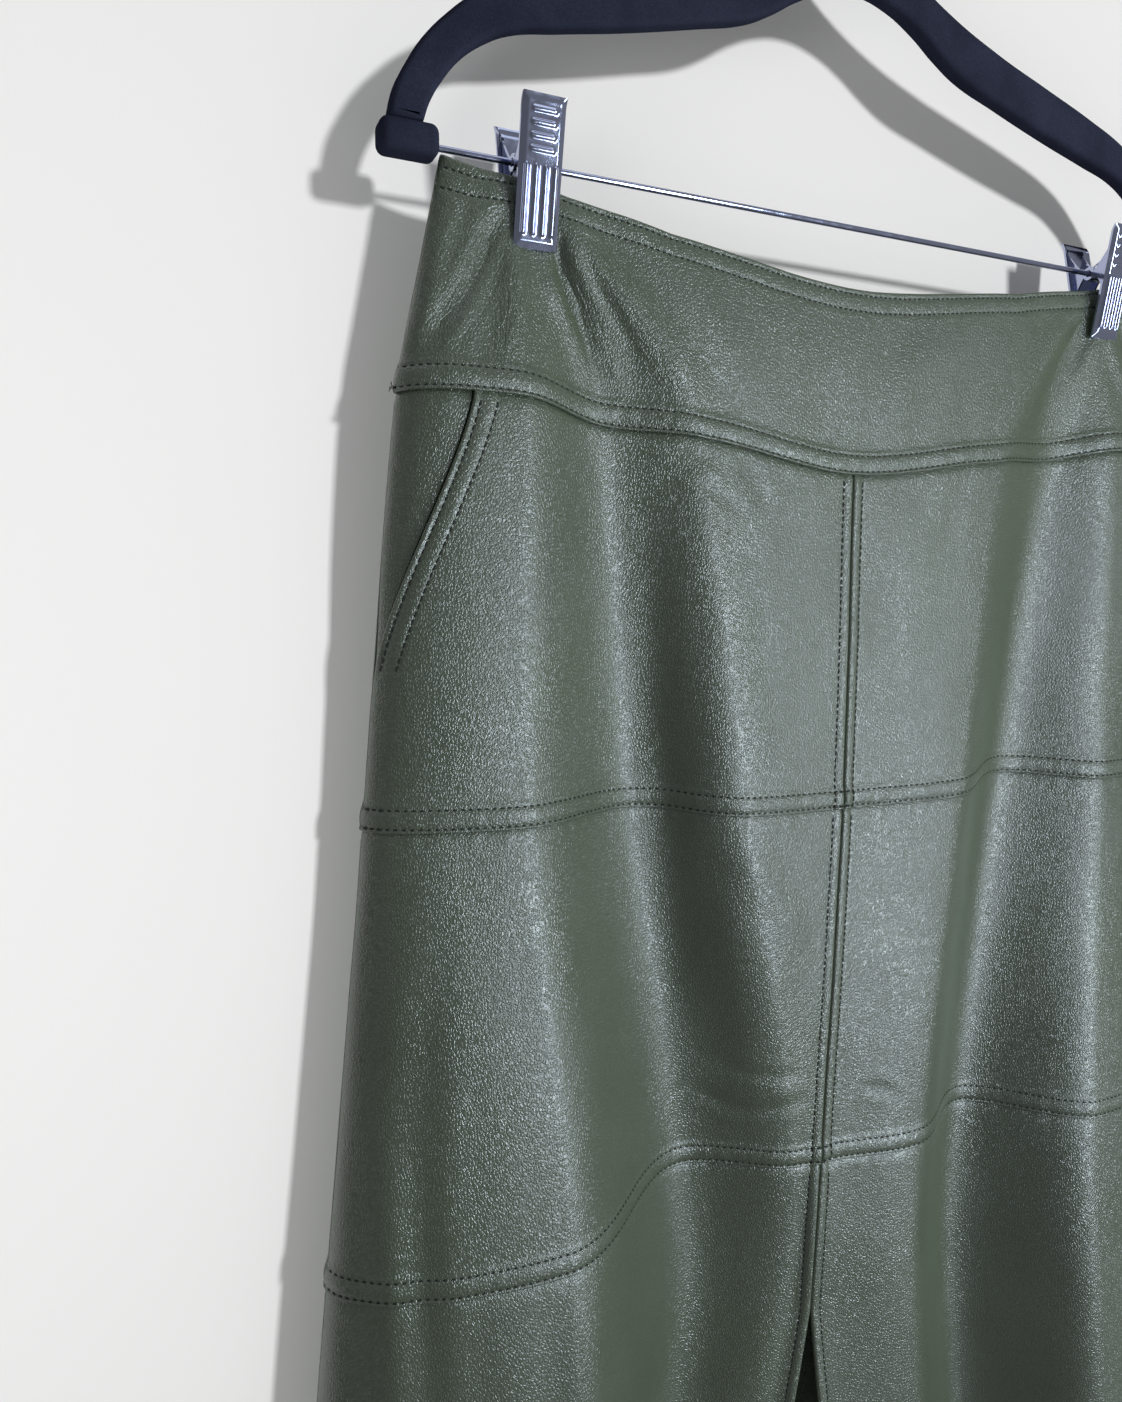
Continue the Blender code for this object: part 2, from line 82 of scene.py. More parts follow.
# ---- the cloth's form, in millimetres, as the solids have it -------------------------------
LEVELS = ("waist", "clip", "yoke", "hip", "low", "slit", "hem")
DROPS = (0, 36, 86, 250, 430, 505, 748)
YOKE, HIP, LOW, SLIT, HEM = DROPS[2:]
FOLDS = ("ridge", "valley", "crown", "centre")
FOLD_PLACES = (0.68, 0.42, 0.20, 0.0)
SIDE = (  # x, y, z, turn
    (189.6, 0.0, -192.4, 0.50),
    (197.0, 0.6, -228.0, 0.55),
    (206.5, 4.0, -278.5, 0.80),
    (220.0, 11.0, -442.5, 1.00),
    (237.5, 10.0, -622.5, 1.00),
    (244.5, 10.0, -697.0, 1.00),
    (266.0, 8.0, -940.0, 1.00),
)
FRONT_LEFT = (
    ((-163, -4.2, -196.9), (-140, -3.4, -200.6), (-95, -4.4, -207.8), (0, -4.2, -217.6)),
    ((-161, -4.6, -229.0), (-138, -2.0, -231.5), (-90, -6.5, -239.5), (0, -5.0, -250.5)),
    ((-161, -9.0, -278.0), (-121, 4.0, -284.5), (-78, -6.0, -288.0), (0, -4.0, -298.0)),
    ((-161, -8.0, -443.5), (-99, 17.0, -444.0), (-54, -6.0, -448.0), (-1, -3.0, -449.0)),
    ((-147, -22.0, -623.0), (-67, 27.0, -620.0), (-14, 6.0, -622.5), (-3, 4.0, -622.5)),
    ((-150, -27.0, -697.0), (-62, 28.0, -695.5), (-17, 9.0, -697.0), (-6, 5.0, -697.0)),
    ((-172, -36.0, -940.0), (-104, 23.0, -938.0), (-68, 14.0, -940.0), (-52, 9.0, -940.0)),
)
FRONT_RIGHT = (
    ((163, -4.2, -196.9), (140, -3.4, -200.6), (95, -4.4, -207.8), (0, -4.2, -217.6)),
    ((161, -4.6, -229.0), (137, -2.0, -231.5), (93, -6.0, -239.5), (0, -5.0, -250.5)),
    ((163, -8.5, -278.0), (125, 3.0, -284.0), (84, -6.0, -288.0), (0, -4.0, -298.0)),
    ((165, -9.0, -445.0), (112, 14.0, -442.0), (66, -6.0, -448.0), (-1, -3.0, -449.0)),
    ((158, -19.0, -622.8), (98, 20.0, -620.0), (50, -3.0, -622.5), (-3, 4.0, -622.5)),
    ((160, -23.0, -697.0), (98, 22.0, -695.5), (48, -4.0, -697.0), (-6, 5.0, -697.0)),
    ((174, -33.0, -940.0), (120, 17.0, -938.0), (66, -10.0, -940.0), (20, -10.0, -940.0)),
)
BACK = (
    ((163, 4.2, -196.9), (140, 3.4, -200.4), (95, 4.6, -206.0), (0, 4.6, -215.0)),
    ((162, 4.6, -229.0), (138, 2.8, -231.5), (88, 7.0, -239.0), (0, 6.5, -248.5)),
    ((166, 12.0, -278.0), (124, 8.5, -284.0), (80, 13.0, -287.5), (0, 12.5, -296.0)),
    ((170, 30.0, -443.5), (112, 27.5, -444.5), (58, 31.0, -446.5), (0, 29.5, -447.5)),
    ((178, 32.0, -622.5), (118, 30.5, -622.5), (66, 33.5, -622.5), (0, 32.5, -622.5)),
    ((181, 32.5, -697.0), (120, 31.0, -697.0), (68, 34.0, -697.0), (0, 33.0, -697.0)),
    ((190, 33.5, -940.0), (126, 31.0, -940.0), (72, 34.5, -940.0), (0, 33.5, -940.0)),
)
POCKET_TOP = 0.750     # the pocket's edge starts at this place under the yoke
POCKET_DROP = 194.0    # and meets the side seam here
POCKET_BEND = 1.3
POCKET_FADE = 14       # its welt flattens over this length above its end
POCKET_SIDE_SHARE = 0.955       # the piece behind it ends here, before it runs out to nothing

# ---- reliefs: how far the leather stands out, by the distance from an edge, in millimetres --
LAP_RELIEF = ((0, 0.75), (0.7, 0.95), (1.6, 0.48), (2.6, 0.86), (5.2, 1.10), (7.8, 0.84),
              (8.9, 0.36), (10.1, 0.42), (11.6, 0.08), (12.6, 0.0))
TUCK_RELIEF = ((0, -0.70), (2.0, -0.66), (2.5, -0.52), (3.6, -0.16), (5.5, 0.0))
CENTRE_RELIEF = ((0, -0.35), (0.5, 0.15), (1.2, 0.48), (2.6, 0.52), (4.2, 0.30), (5.2, -0.16),
                 (6.2, -0.02), (8, 0.0))
POCKET_RELIEF = ((0, 0.55), (0.9, 0.95), (1.9, 0.75), (2.6, 0.36), (3.2, 0.14), (3.9, 0.38),
                 (6.5, 0.55), (8.8, 0.36), (9.8, -0.06), (10.8, 0.06), (12.6, 0.0))
SUNK_RELIEF = ((0, -0.6), (3, -0.55), (9, -0.2), (16, 0.0))   # the piece behind the pocket
HEM_RELIEF = ((0, 0.35), (5, 0.50), (9, 0.34), (10, -0.05), (11, 0.04), (13, 0.0))
WAIST_RELIEF = ((0, 0.0), (1.3, 0.08), (2.6, -0.22), (4.0, 0.06), (6.4, 0.13), (8.8, 0.04),
                (10.2, -0.24), (11.6, 0.02), (14, 0.0))

# ---- columns and rows that keep their distance from an edge, in millimetres -----------------
PLAIN_EDGE = (0.15, 0.45, 0.9)
CLOSED_EDGE = (0.02, *PLAIN_EDGE[1:])   # where two halves are sewn edge to edge
CENTRE_EDGE = (0.15, 0.45, 0.9, 1.5, 2.6, 3.6, 4.6, 5.2, 5.8, 6.8, 8.0)
POCKET_EDGE = (0.15, 0.45, 0.9, 1.4, 2.0, 2.6, 3.2, 3.8, 5.0, 6.6, 8.2, 9.2, 9.8, 10.4, 11.4, 12.6)
TUCK_ROWS = (-2.0, -1.2, -0.5, 0.0, 0.5, 1.0)
LAP_ROWS = (12.6, 11.6, 10.8, 10.1, 9.5, 8.9, 8.3, 7.6, 6.4, 5.0, 3.6, 2.6, 2.1, 1.6, 1.1, 0.75,
            0.45, 0.15)
HEM_ROWS = (13.0, 11.5, 10.6, 10.0, 9.3, 8.0, 5.5, 3.0, 1.2, 0.6, 0.15)
WAIST_DROPS = (0.15, 0.4, 0.8, 1.3, 1.9, 2.6, 3.3, 4.2, 5.6, 7.0, 8.4, 9.5, 10.2, 10.9, 12.0, 13.5)

# ---- folds and pinches, one by one ----------------------------------------------------------
# A fold's leather bulges beside it: how high for its depth, and where and how broad for its width.
SHOULDER, SHOULDER_AT, SHOULDER_WIDTH = 0.4, 1.9, 0.9
# Wrinkle lines start on a fold a sixth as deep as its width and are full on one three times that
# deep. They reach this many widths to its sides.
STEEPNESS, WRINKLE_REACH = 3, 2.2
# depth is how deep a trough is (a ridge is negative), width is half of it; first and last are
# its strength at the ends of its line, which is given as (x, z) in millimetres.
FRONT_CREASES = (
    # left of the left clip: a deep fold with fine ones in it, the ridge that starts under the
    # clip's corner, and the round to the side
    (2.3, 3.6, 1.0, 0.25, ((-168, -214), (-172, -221), (-181, -239), (-192, -254), (-200, -267))),
    (-2.0, 5.0, 1.0, 0.45, ((-161, -223), (-162, -234), (-164, -252), (-167, -270))),
    (1.5, 7.0, 1.0, 1.0, ((-154, -200), (-154, -212), (-154, -223))),
    (1.0, 1.9, 1.0, 0.4, ((-163, -216), (-168, -230), (-176, -246), (-186, -262))),
    (-0.8, 3.2, 0.5, 1.0, ((-186, -208), (-189, -220), (-195, -242), (-201, -264))),
    # below and right of it: the same again, then the broad ridge and the flat beyond it
    (2.7, 3.9, 1.0, 0.35, ((-144, -214), (-142, -226), (-135, -240), (-127, -256), (-121, -271))),
    (-2.6, 7.0, 1.0, 0.45, ((-138, -212), (-129, -223), (-116, -236), (-101, -253), (-88, -270))),
    (1.0, 2.0, 1.0, 0.3, ((-144, -218), (-139, -234), (-131, -250), (-126, -262))),
    (0.9, 2.0, 1.0, 0.3, ((-137, -217), (-127, -232), (-116, -246), (-106, -262))),
    (-0.5, 1.4, 1.0, 0.5, ((-137, -210.5), (-131, -213), (-124, -215))),
    (0.7, 8.0, 0.8, 0.3, ((-112, -216), (-96, -232), (-80, -250), (-70, -272))),
    (-0.5, 9.0, 0.3, 1.0, ((-82, -233), (-72, -244), (-60, -258), (-52, -278))),
    # right of the middle, under the right clip
    (2.0, 5.5, 1.0, 0.2, ((165, -214), (173, -228), (184, -248), (192, -266))),
    (-1.0, 4.0, 1.0, 0.2, ((163, -221), (167, -240), (171, -260))),
    (0.6, 1.3, 1.0, 0.2, ((167, -216), (173, -226), (178, -238))),
    (2.3, 6.5, 1.0, 0.3, ((144, -214), (134, -229), (124, -251), (115, -276))),
    (-1.4, 6.5, 1.0, 0.3, ((140, -209), (126, -224), (106, -250), (92, -276))),
    (0.7, 1.5, 1.0, 0.2, ((145, -223), (138, -236), (131, -250))),
    (0.5, 1.3, 1.0, 0.2, ((139, -218), (130, -232), (122, -244))),
    (-0.8, 8.0, 0.3, 1.0, ((58, -228), (44, -240), (30, -252), (22, -276))),
    (0.7, 7.0, 0.4, 1.0, ((80, -224), (68, -246), (58, -274))),
    # small pinches along the seams and beside the centre
    (0.5, 3.0, 0.6, 1.0, ((-65, -580), (-45, -591), (-30, -591), (-14, -588))),
    (0.35, 3.0, 0.5, 1.0, ((-62, -562), (-45, -571), (-30, -574), (-18, -575))),
    (-0.4, 5.0, 0.5, 1.0, ((-66, -571), (-45, -580), (-20, -582))),
    (-0.4, 9.0, 0.6, 1.0, ((-86, -294), (-80, -320), (-69, -354), (-58, -395), (-50, -430))),
    (-0.6, 7.0, 1.0, 0.5, ((-56, -462), (-44, -478), (-32, -496), (-28, -520))),
    (0.6, 5.5, 0.5, 1.0, ((-98, -322), (-96, -362), (-93, -397), (-88, -427), (-83, -468))),
    (0.6, 5.5, 1.0, 0.3, ((-88, -427), (-83, -468), (-77, -512), (-68, -560))),
    (-0.45, 6.5, 0.4, 1.0, ((-87, -330), (-83, -354), (-77, -396), (-72, -427), (-66, -467))),
    (-0.45, 6.5, 1.0, 0.6, ((-72, -427), (-66, -467), (-57, -510), (-45, -560), (-38, -597))),
    (0.6, 3.0, 1.0, 0.3, ((-85, -301), (-74, -309), (-59, -317))),
    (0.6, 3.0, 0.5, 1.0, ((38, -596), (30, -590), (20, -587))),
    (0.6, 5.0, 0.2, 1.0, ((-96, -310), (-88, -298), (-78, -293))),
    (0.5, 4.0, 1.0, 0.2, ((-60, -296), (-52, -306), (-47, -322))),
    (0.6, 5.0, 1.0, 0.2, ((66, -297), (58, -310), (54, -330))),
    # down the left side and over the lower tier
    (1.3, 6.5, 0.3, 0.8, ((-196, -480), (-202, -525), (-205, -582), (-205, -650), (-203, -760))),
    (-0.9, 6.0, 0.4, 1.0, ((-220, -540), (-217, -590), (-217, -660), (-222, -780))),
    (-0.5, 6.0, 0.6, 1.0, ((-174, -632), (-174, -680), (-176, -760), (-180, -860))),
    (0.7, 5.5, 0.6, 1.0, ((-157, -632), (-156, -680), (-158, -770), (-160, -900))),
    (-0.8, 7.0, 0.6, 0.8, ((-139, -630), (-138, -680), (-136, -760), (-138, -900))),
    (0.9, 9.0, 0.3, 0.8, ((-122, -650), (-120, -730), (-124, -860), (-130, -935))),
    (-0.7, 9.0, 0.3, 0.8, ((-104, -660), (-106, -760), (-114, -930))),
    (0.8, 9.0, 0.2, 0.8, ((136, -650), (134, -740), (142, -880), (146, -935))),
)
BACK_CREASES = (
    (1.8, 5.5, 1.0, 0.2, ((165, -214), (174, -230), (186, -252))),
    (2.0, 6.5, 1.0, 0.3, ((144, -214), (132, -232), (120, -262))),
    (0.6, 1.4, 1.0, 0.2, ((141, -220), (133, -233), (125, -246))),
    (-0.9, 7.0, 1.0, 0.3, ((138, -210), (118, -232), (98, -266))),
    (1.7, 5.5, 1.0, 0.2, ((-165, -215), (-175, -232), (-187, -254))),
    (2.1, 6.0, 1.0, 0.3, ((-144, -215), (-134, -234), (-121, -264))),
    (0.6, 1.5, 1.0, 0.2, ((-140, -221), (-131, -235), (-124, -250))),
    (-1.0, 7.5, 1.0, 0.3, ((-137, -210), (-119, -230), (-97, -268))),
    (0.9, 8.0, 0.3, 1.0, ((34, -226), (30, -250), (24, -284))),
    (0.8, 9.0, 0.2, 0.8, ((96, -640), (92, -740), (100, -930))),
    (1.0, 10.0, 0.2, 0.8, ((-112, -645), (-108, -760), (-120, -930))),
    (0.7, 3.0, 1.0, 0.3, ((30, -592), (44, -588), (58, -590))),
)
CREASES = {"front": FRONT_CREASES, "back": BACK_CREASES}


def linear(hex_colour):
    """An sRGB colour such as "5d675e" as the linear numbers that Blender uses."""
    shares = [int(hex_colour[i:i + 2], 16) / 255 for i in (0, 2, 4)]
    return tuple(s / 12.92 if s <= 0.04045 else ((s + 0.055) / 1.055) ** 2.4 for s in shares)


# ---- settings -------------------------------------------------------------------------------
class LeatherSettings(bpy.types.PropertyGroup):
    colour: FloatVectorProperty(name="Colour", description="Dyed grain side of the leather",
                                subtype="COLOR", size=3, default=linear("576552"))
    backing: FloatVectorProperty(name="Backing", description="Flesh side with its knitted backing",
                                 subtype="COLOR", size=3, default=linear("3a403b"))
    pebble: FloatProperty(name="Pebble", description="Width of one pebble of the grain",
                          unit="LENGTH", default=1.3 * MM, precision=5)
    roughness: FloatProperty(name="Roughness", description="Roughness of the satin finish",
                             default=0.35, min=0.0, max=1.0)


class SewingSettings(bpy.types.PropertyGroup):
    colour: FloatVectorProperty(name="Thread", description="Dyed polyester thread",
                                subtype="COLOR", size=3, default=linear("20241d"))
    length: FloatProperty(name="Stitch", description="Length of the stitch that shows",
                          unit="LENGTH", default=2.5 * MM, precision=5)
    width: FloatProperty(name="Thread width", description="Width of the thread",
                         unit="LENGTH", default=0.95 * MM, precision=5)


class HangerSettings(bpy.types.PropertyGroup):
    flock: FloatVectorProperty(name="Flock", description="Short nylon flock on moulded plastic",
                               subtype="COLOR", size=3, default=linear("34384b"))
    # painted reflection: the chrome's bluish tint stands in for a bluish room that it mirrors, on
    # otherwise neutral chrome
    chrome: FloatVectorProperty(name="Chrome", description="Bright chrome plate on steel",
                                subtype="COLOR", size=3, default=linear("b2b8d4"))
    zip_enamel: FloatVectorProperty(name="Zip", description="Enamelled slider and pull tab",
                                    subtype="COLOR", size=3, default=linear("4a4f47"))


# ---- the form of the cloth ------------------------------------------------------------------
def smooth_line(places, values, at):
    """Smooth lines through values, which has the places last, read off at each number of at."""
    places = np.asarray(places, float)
    values = np.asarray(values, float)
    shape = np.broadcast_shapes(np.shape(at), values.shape[:-1])
    at = np.broadcast_to(at, shape)
    number = np.arange(len(places))
    ahead, behind = np.minimum(number + 1, number[-1]), np.maximum(number - 1, 0)
    slopes = (values[..., ahead] - values[..., behind]) / (places[ahead] - places[behind])
    k = np.searchsorted(places[1:-1], at)

    def pick(table, index):
        table = np.broadcast_to(table, shape + (len(places),))
        return np.take_along_axis(table, index[..., None], -1)[..., 0]

    width = places[k + 1] - places[k]
    t = np.clip((at - places[k]) / width, 0, 1)
    a = 2 * t ** 3 - 3 * t ** 2 + 1
    b = t ** 3 - 2 * t ** 2 + t
    c = t ** 3 - t ** 2
    return (a * pick(values, k) + b * width * pick(slopes, k)
            + (1 - a) * pick(values, k + 1) + c * width * pick(slopes, k + 1))


def at_drop(rows, drop, places=DROPS):
    """A table's row at each drop: every number runs smoothly from level to level."""
    return smooth_line(places, np.transpose(rows), np.asarray(drop, float)[..., None])


def fold_at(face, half, fold, drop):
    """One fold's (x, y, z) at each drop."""
    if face == "back":
        return at_drop([row[fold] for row in BACK], drop) * (half, 1, 1)
    rows = [row[fold] for row in (FRONT_LEFT if half < 0 else FRONT_RIGHT)]
    if fold < len(FOLDS) - 1:
        return at_drop(rows, drop)
    top = LEVELS.index("slit")
    above = at_drop(rows[:top + 1], drop, DROPS[:top + 1])
    below = at_drop(rows[top - 1:], drop, DROPS[top - 1:])
    return np.where((drop <= SLIT)[..., None], above, below)


def cloth(face, half, place, drop):
    """Points of the cloth's outer face. place runs from the left side seam (-1) over the middle
    (0) to the right side seam (1); half is -1 or 1 for a panel of one half, and 0 for both."""
    if half == 0:
        left = cloth(face, -1, np.minimum(place, 0), drop)
        right = cloth(face, 1, np.maximum(place, 0), drop)
        return np.where((place < 0)[..., None], left, right)
    across = np.abs(place)
    side = at_drop(SIDE, drop)
    folds = [fold_at(face, half, k, drop) for k in range(len(FOLDS))]
    heights = np.stack([folds[k][..., 2] for k in (2, 3, 2, 1, 0)]
                       + [side[..., 2], folds[0][..., 2]], -1)
    z = smooth_line([-FOLD_PLACES[2], 0.0, *FOLD_PLACES[2::-1], 1.0, 2 - FOLD_PLACES[0]],
                    heights, across)
    turned = math.pi / 2 * np.clip((across - FOLD_PLACES[0]) / (1 - FOLD_PLACES[0]), 0, 1)
    ridge = folds[0]
    x = ridge[..., 0] + (half * side[..., 0] - ridge[..., 0]) * np.sin(turned) ** side[..., 3]
    y = side[..., 1] + (ridge[..., 1] - side[..., 1]) * np.cos(turned)
    for k, (outer, inner) in enumerate(zip(FOLD_PLACES, FOLD_PLACES[1:])):
        t = (outer - across) / (outer - inner)
        between = (across < outer) & (across >= inner)
        near, far = folds[k], folds[k + 1]
        x = np.where(between, near[..., 0] + (far[..., 0] - near[..., 0]) * t, x)
        y = np.where(between, near[..., 1] + (far[..., 1] - near[..., 1]) * t * t * (3 - 2 * t), y)
    return np.stack(np.broadcast_arrays(x, y, z), -1)


def unit(vectors):
    return vectors / np.maximum(np.linalg.norm(vectors, axis=-1, keepdims=True), 1e-9)


def cloth_and_normal(face, half, place, drop):
    """The outer face's points and their outward directions, from points a small step away."""
    step, rise = 0.004, 1.0
    low, high = {-1: (-1, 0), 0: (-1, 1), 1: (0, 1)}[half]
    over = (cloth(face, half, np.minimum(place + step, high), drop)
            - cloth(face, half, np.maximum(place - step, low), drop))
    down = (cloth(face, half, place, np.minimum(drop + rise, HEM))
            - cloth(face, half, place, np.maximum(drop - rise, 0)))
    out = unit(np.cross(down, over) if face == "front" else np.cross(over, down))
    return cloth(face, half, place, drop), out


def pocket_place(drop):
    """Where the pocket's slanted edge crosses a half at this drop."""
    t = np.clip((drop - YOKE) / (POCKET_DROP - YOKE), 0.0, 1.0)
    return POCKET_TOP + (1 - POCKET_TOP) * t ** POCKET_BEND


def lay_columns(face, half, drops, borders, left, right, step):
    """Spreads a panel's columns evenly over the cloth, row by row.

    borders are the panel's first and last place at each drop; left and right are the columns
    kept at set distances from them. Returns the places and their distances from the left."""
    # the samples lie closer where the cloth turns to the side
    turn = np.linspace(0, 1, 160)[1:] ** 2
    one_side = np.concatenate([np.linspace(0, FOLD_PLACES[0], 240),
                               FOLD_PLACES[0] + (1 - FOLD_PLACES[0]) * turn])
    samples = np.concatenate([-one_side[:0:-1], one_side])
    samples = np.clip(samples[None, :], borders[0][:, None], borders[1][:, None])
    points = cloth(face, half, samples, drops[:, None])
    steps = np.linalg.norm(np.diff(points, axis=1), axis=2)
    along = np.concatenate([np.zeros((len(drops), 1)), np.cumsum(steps, axis=1)], axis=1)
    width = along[:, -1:]
    room = width - left[-1] - right[-1]
    count = max(2 * round(float(room.max()) / (2 * step)), 4)
    squeeze = np.minimum(1.0, width / (2.2 * (left[-1] + right[-1])))   # where the panel is narrow
    first = np.array(left)[None, :] * squeeze
    last = width - np.array(right[::-1])[None, :] * squeeze
    middle = first[:, -1:] + (last[:, :1] - first[:, -1:]) * np.linspace(0, 1, count + 1)[1:-1]
    reach = np.concatenate([first, middle, last], axis=1)
    places = [np.interp(reach[r], along[r], samples[r]) for r in range(len(drops))]
    return np.array(places), reach, width


def make_grid(face, half, drops, borders=None, left=PLAIN_EDGE, right=PLAIN_EDGE, step=GRID_STEP,
              waist=False):
    """A panel's grid of places on the cloth with their distances from its four edges."""
    drops = np.asarray(drops, float)
    if borders is None:
        ends = {-1: (-1, 0), 0: (-1, 1), 1: (0, 1)}[half]
        borders = [np.full(len(drops), float(end)) for end in ends]
    place, reach, width = lay_columns(face, half, np.clip(drops, 0, HEM), borders, left, right, step)
    drop = np.repeat(drops[:, None], place.shape[1], axis=1)
    if waist:
        drop = drop + WAIST_SHIFT * waist_lowered(place) * np.interp(drops, (0.4, 2.6, 14, 34),
                                                                     (0, 1, 1, 0))[:, None]
    point, out = cloth_and_normal(face, half, place, drop)
    return SimpleNamespace(face=face, half=half, point=point, out=out, drop=drop, place=place,
                           from_left=reach, from_right=width - reach, width=width[:, 0],
                           from_top=drops[:, None] - drops[0], to_bottom=drops[-1] - drops[:, None],
                           left=left, right=right, drops=drops)


def waist_lowered(place):
    """1 beside the side seam, 0 from the clip on."""
    return np.clip((np.abs(place) - 0.62) / 0.12, 0, 1)


# ---- the relief of the leather --------------------------------------------------------------
def relief(distance, table):
    """A relief table read off at each distance from its edge."""
    places, heights = zip(*table)
    return smooth_line(places, heights, np.clip(distance, 0, places[-1]))


def creases(grid):
    """The folds and pinches of one face, out of the cloth's form, how creased it is, and each
    place's distance across and along the nearest fold."""
    x, z = grid.point[..., 0], grid.point[..., 2]
    height, creased = np.zeros(x.shape), np.zeros(x.shape)
    runner_up, fold_place = np.zeros(x.shape), np.zeros(x.shape + (3,))
    t = np.linspace(0, 1, 32)
    for depth, width, first, last, line in CREASES[grid.face]:
        route = smooth_line(np.linspace(0, 1, len(line)), np.transpose(line), t[:, None])
        low, high = route.min(0) - 4 * width, route.max(0) + 4 * width
        near = (x > low[0]) & (x < high[0]) & (z > low[1]) & (z < high[1])
        if not near.any():
            continue
        gaps = np.hypot(x[near][:, None] - route[:, 0], z[near][:, None] - route[:, 1])
        nearest = gaps.argmin(1)
        share = t[nearest]
        ends = np.sin(np.pi * (0.04 + 0.92 * share)) ** 0.6     # it fades out at both ends
        strength = (first + (last - first) * share) * ends
        gap = gaps.min(1) / width
        shoulder = SHOULDER * np.exp(-((gap - SHOULDER_AT) / SHOULDER_WIDTH) ** 2)
        height[near] -= depth * strength * (np.exp(-gap ** 2) - shoulder)
        sharpness = np.clip(STEEPNESS * abs(depth) / width - 0.5, 0, 1)
        here = sharpness * strength * np.exp(-(gap / WRINKLE_REACH) ** 2)
        ahead = np.gradient(route, axis=0)[nearest]
        side = np.sign(ahead[:, 0] * (z[near] - route[nearest, 1])
                       - ahead[:, 1] * (x[near] - route[nearest, 0]))
        length = np.linalg.norm(np.diff(route, axis=0), axis=1).sum()
        ruling = np.zeros(x.shape, bool)
        ruling[near] = here > creased[near]
        runner_up[near] = np.maximum(runner_up[near], np.minimum(creased[near], here))
        creased[near] = np.maximum(creased[near], here)
        taken = ruling[near]
        own_pattern = np.full(gap.shape, 37.0 * line[0][0])    # far from every other fold's
        fold_place[ruling] = np.stack([side * gap * width, share * length, own_pattern],
                                      -1)[taken]
    return height, np.clip(2 * (creased - runner_up), 0, 1), fold_place * MM


RIPPLES = (  # height, then waves per millimetre along x and z, and where they start
    (0.10, 0.019, 0.004, 0.4), (0.05, 0.031, -0.011, 2.1), (0.05, 0.009, 0.014, 4.0),
    (0.015, 0.067, 0.011, 1.3),
)


def ripples(grid):
    """Slow unevenness, as leather hangs."""
    x, z = grid.point[..., 0], grid.point[..., 2]
    waves = [h * np.sin(2 * math.pi * (a * x + b * z) + start + 1.4 * np.sin(0.021 * z + 0.017 * x))
             for h, a, b, start in RIPPLES]
    return sum(waves)


def puckers(grid):
    """Small pinches across a row of stitching, uneven along it, counted in stitches."""
    s = grid.from_left / STITCH_PITCH
    return (0.55 * np.sin(2 * math.pi * s / 2.3 + 1.7 * np.sin(s / 3.1))
            + 0.45 * np.sin(2 * math.pi * s / 3.7 + 1.2 * np.sin(s / 5.3) + 1.0))


def stitch_dimples(grid):
    """-1 at each stitch of a level row and 1 between two of them, in the even columns."""
    number = np.arange(grid.place.shape[1]) - len(grid.left)
    return np.where(number % 2 == 1, -1.0, 1.0)[None, :]


def bell(distance, centre, width):
    return np.exp(-((distance - centre) / width) ** 2)


def round_in(distance):
    """How far a turned edge falls away from the flat of the panel."""
    d = np.clip(distance, STEEPEST, EDGE_ROUND)
    return EDGE_ROUND - np.sqrt(np.maximum(EDGE_ROUND ** 2 - (EDGE_ROUND - d) ** 2, 0))


DIMPLE_DEPTH, DIMPLE_WIDTH = 0.26, 0.95
LAP_PUCKER, LAP_PUCKER_WIDTH = 0.12, 3.0
TUCK_PUCKER, TUCK_PUCKER_AT, TUCK_PUCKER_WIDTH = 0.10, 4.0, 4.5   # just below a level seam


def lap_height(grid, distance, rows, table):
    """A stitched edge with its dimples and puckers; distance is measured from the edge."""
    height = relief(distance, table)
    depth = DIMPLE_DEPTH * sum(bell(distance, row, DIMPLE_WIDTH) for row in rows)
    between = bell(distance, (rows[0] + rows[-1]) / 2, LAP_PUCKER_WIDTH)
    return height + depth * stitch_dimples(grid) + LAP_PUCKER * between * puckers(grid)


def panel_heights(grid, top=None, bottom=None, left=None, right=None):
    """How far the outer and the inner face stand out of the cloth's form.

    top and bottom say what the level edges are; left and right hold an edge's relief table and
    how strong it is in each row."""
    shape = grid.place.shape
    folds, creased, fold_place = creases(grid)
    shared = folds + ripples(grid)
    outer = np.zeros(shape)
    if top == "tucked":
        shared = shared + relief(grid.from_top, TUCK_RELIEF)
        below = bell(grid.from_top, TUCK_PUCKER_AT, TUCK_PUCKER_WIDTH)
        outer += TUCK_PUCKER * below * puckers(grid)
    if top == "waist":
        outer += lap_height(grid, grid.from_top, WAIST_ROWS, WAIST_RELIEF)
    if bottom == "lapped":
        outer += lap_height(grid, grid.to_bottom, (NEAR_ROW, FAR_ROW), LAP_RELIEF)
        inner_lap = relief(grid.to_bottom, LAP_RELIEF) * (grid.to_bottom < FAR_ROW)
    else:
        inner_lap = 0.0
    if bottom == "hem":
        outer += lap_height(grid, grid.to_bottom, (HEM_ROW,), HEM_RELIEF)
    for edge, distance in ((left, grid.from_left), (right, grid.from_right)):
        if edge is not None:
            table, strength = edge
            outer += relief(distance, table) * strength
    edge = np.minimum(np.minimum(grid.from_left, grid.from_right),
                      np.minimum(grid.from_top, grid.to_bottom) + GAP)
    fall = round_in(edge)
    return shared + outer - fall, shared + inner_lap - WALL + fall, creased, fold_place


# ---- meshes ---------------------------------------------------------------------------------
def finish_piece(name, bm, materials, body=BODY, replaces=(), angle=None):
    """Turns a bmesh in metres into a piece that rides on a body."""
    mesh = bpy.data.meshes.new(name)
    bm.to_mesh(mesh)
    bm.free()
    return place_piece(name, mesh, materials, body, replaces, angle)


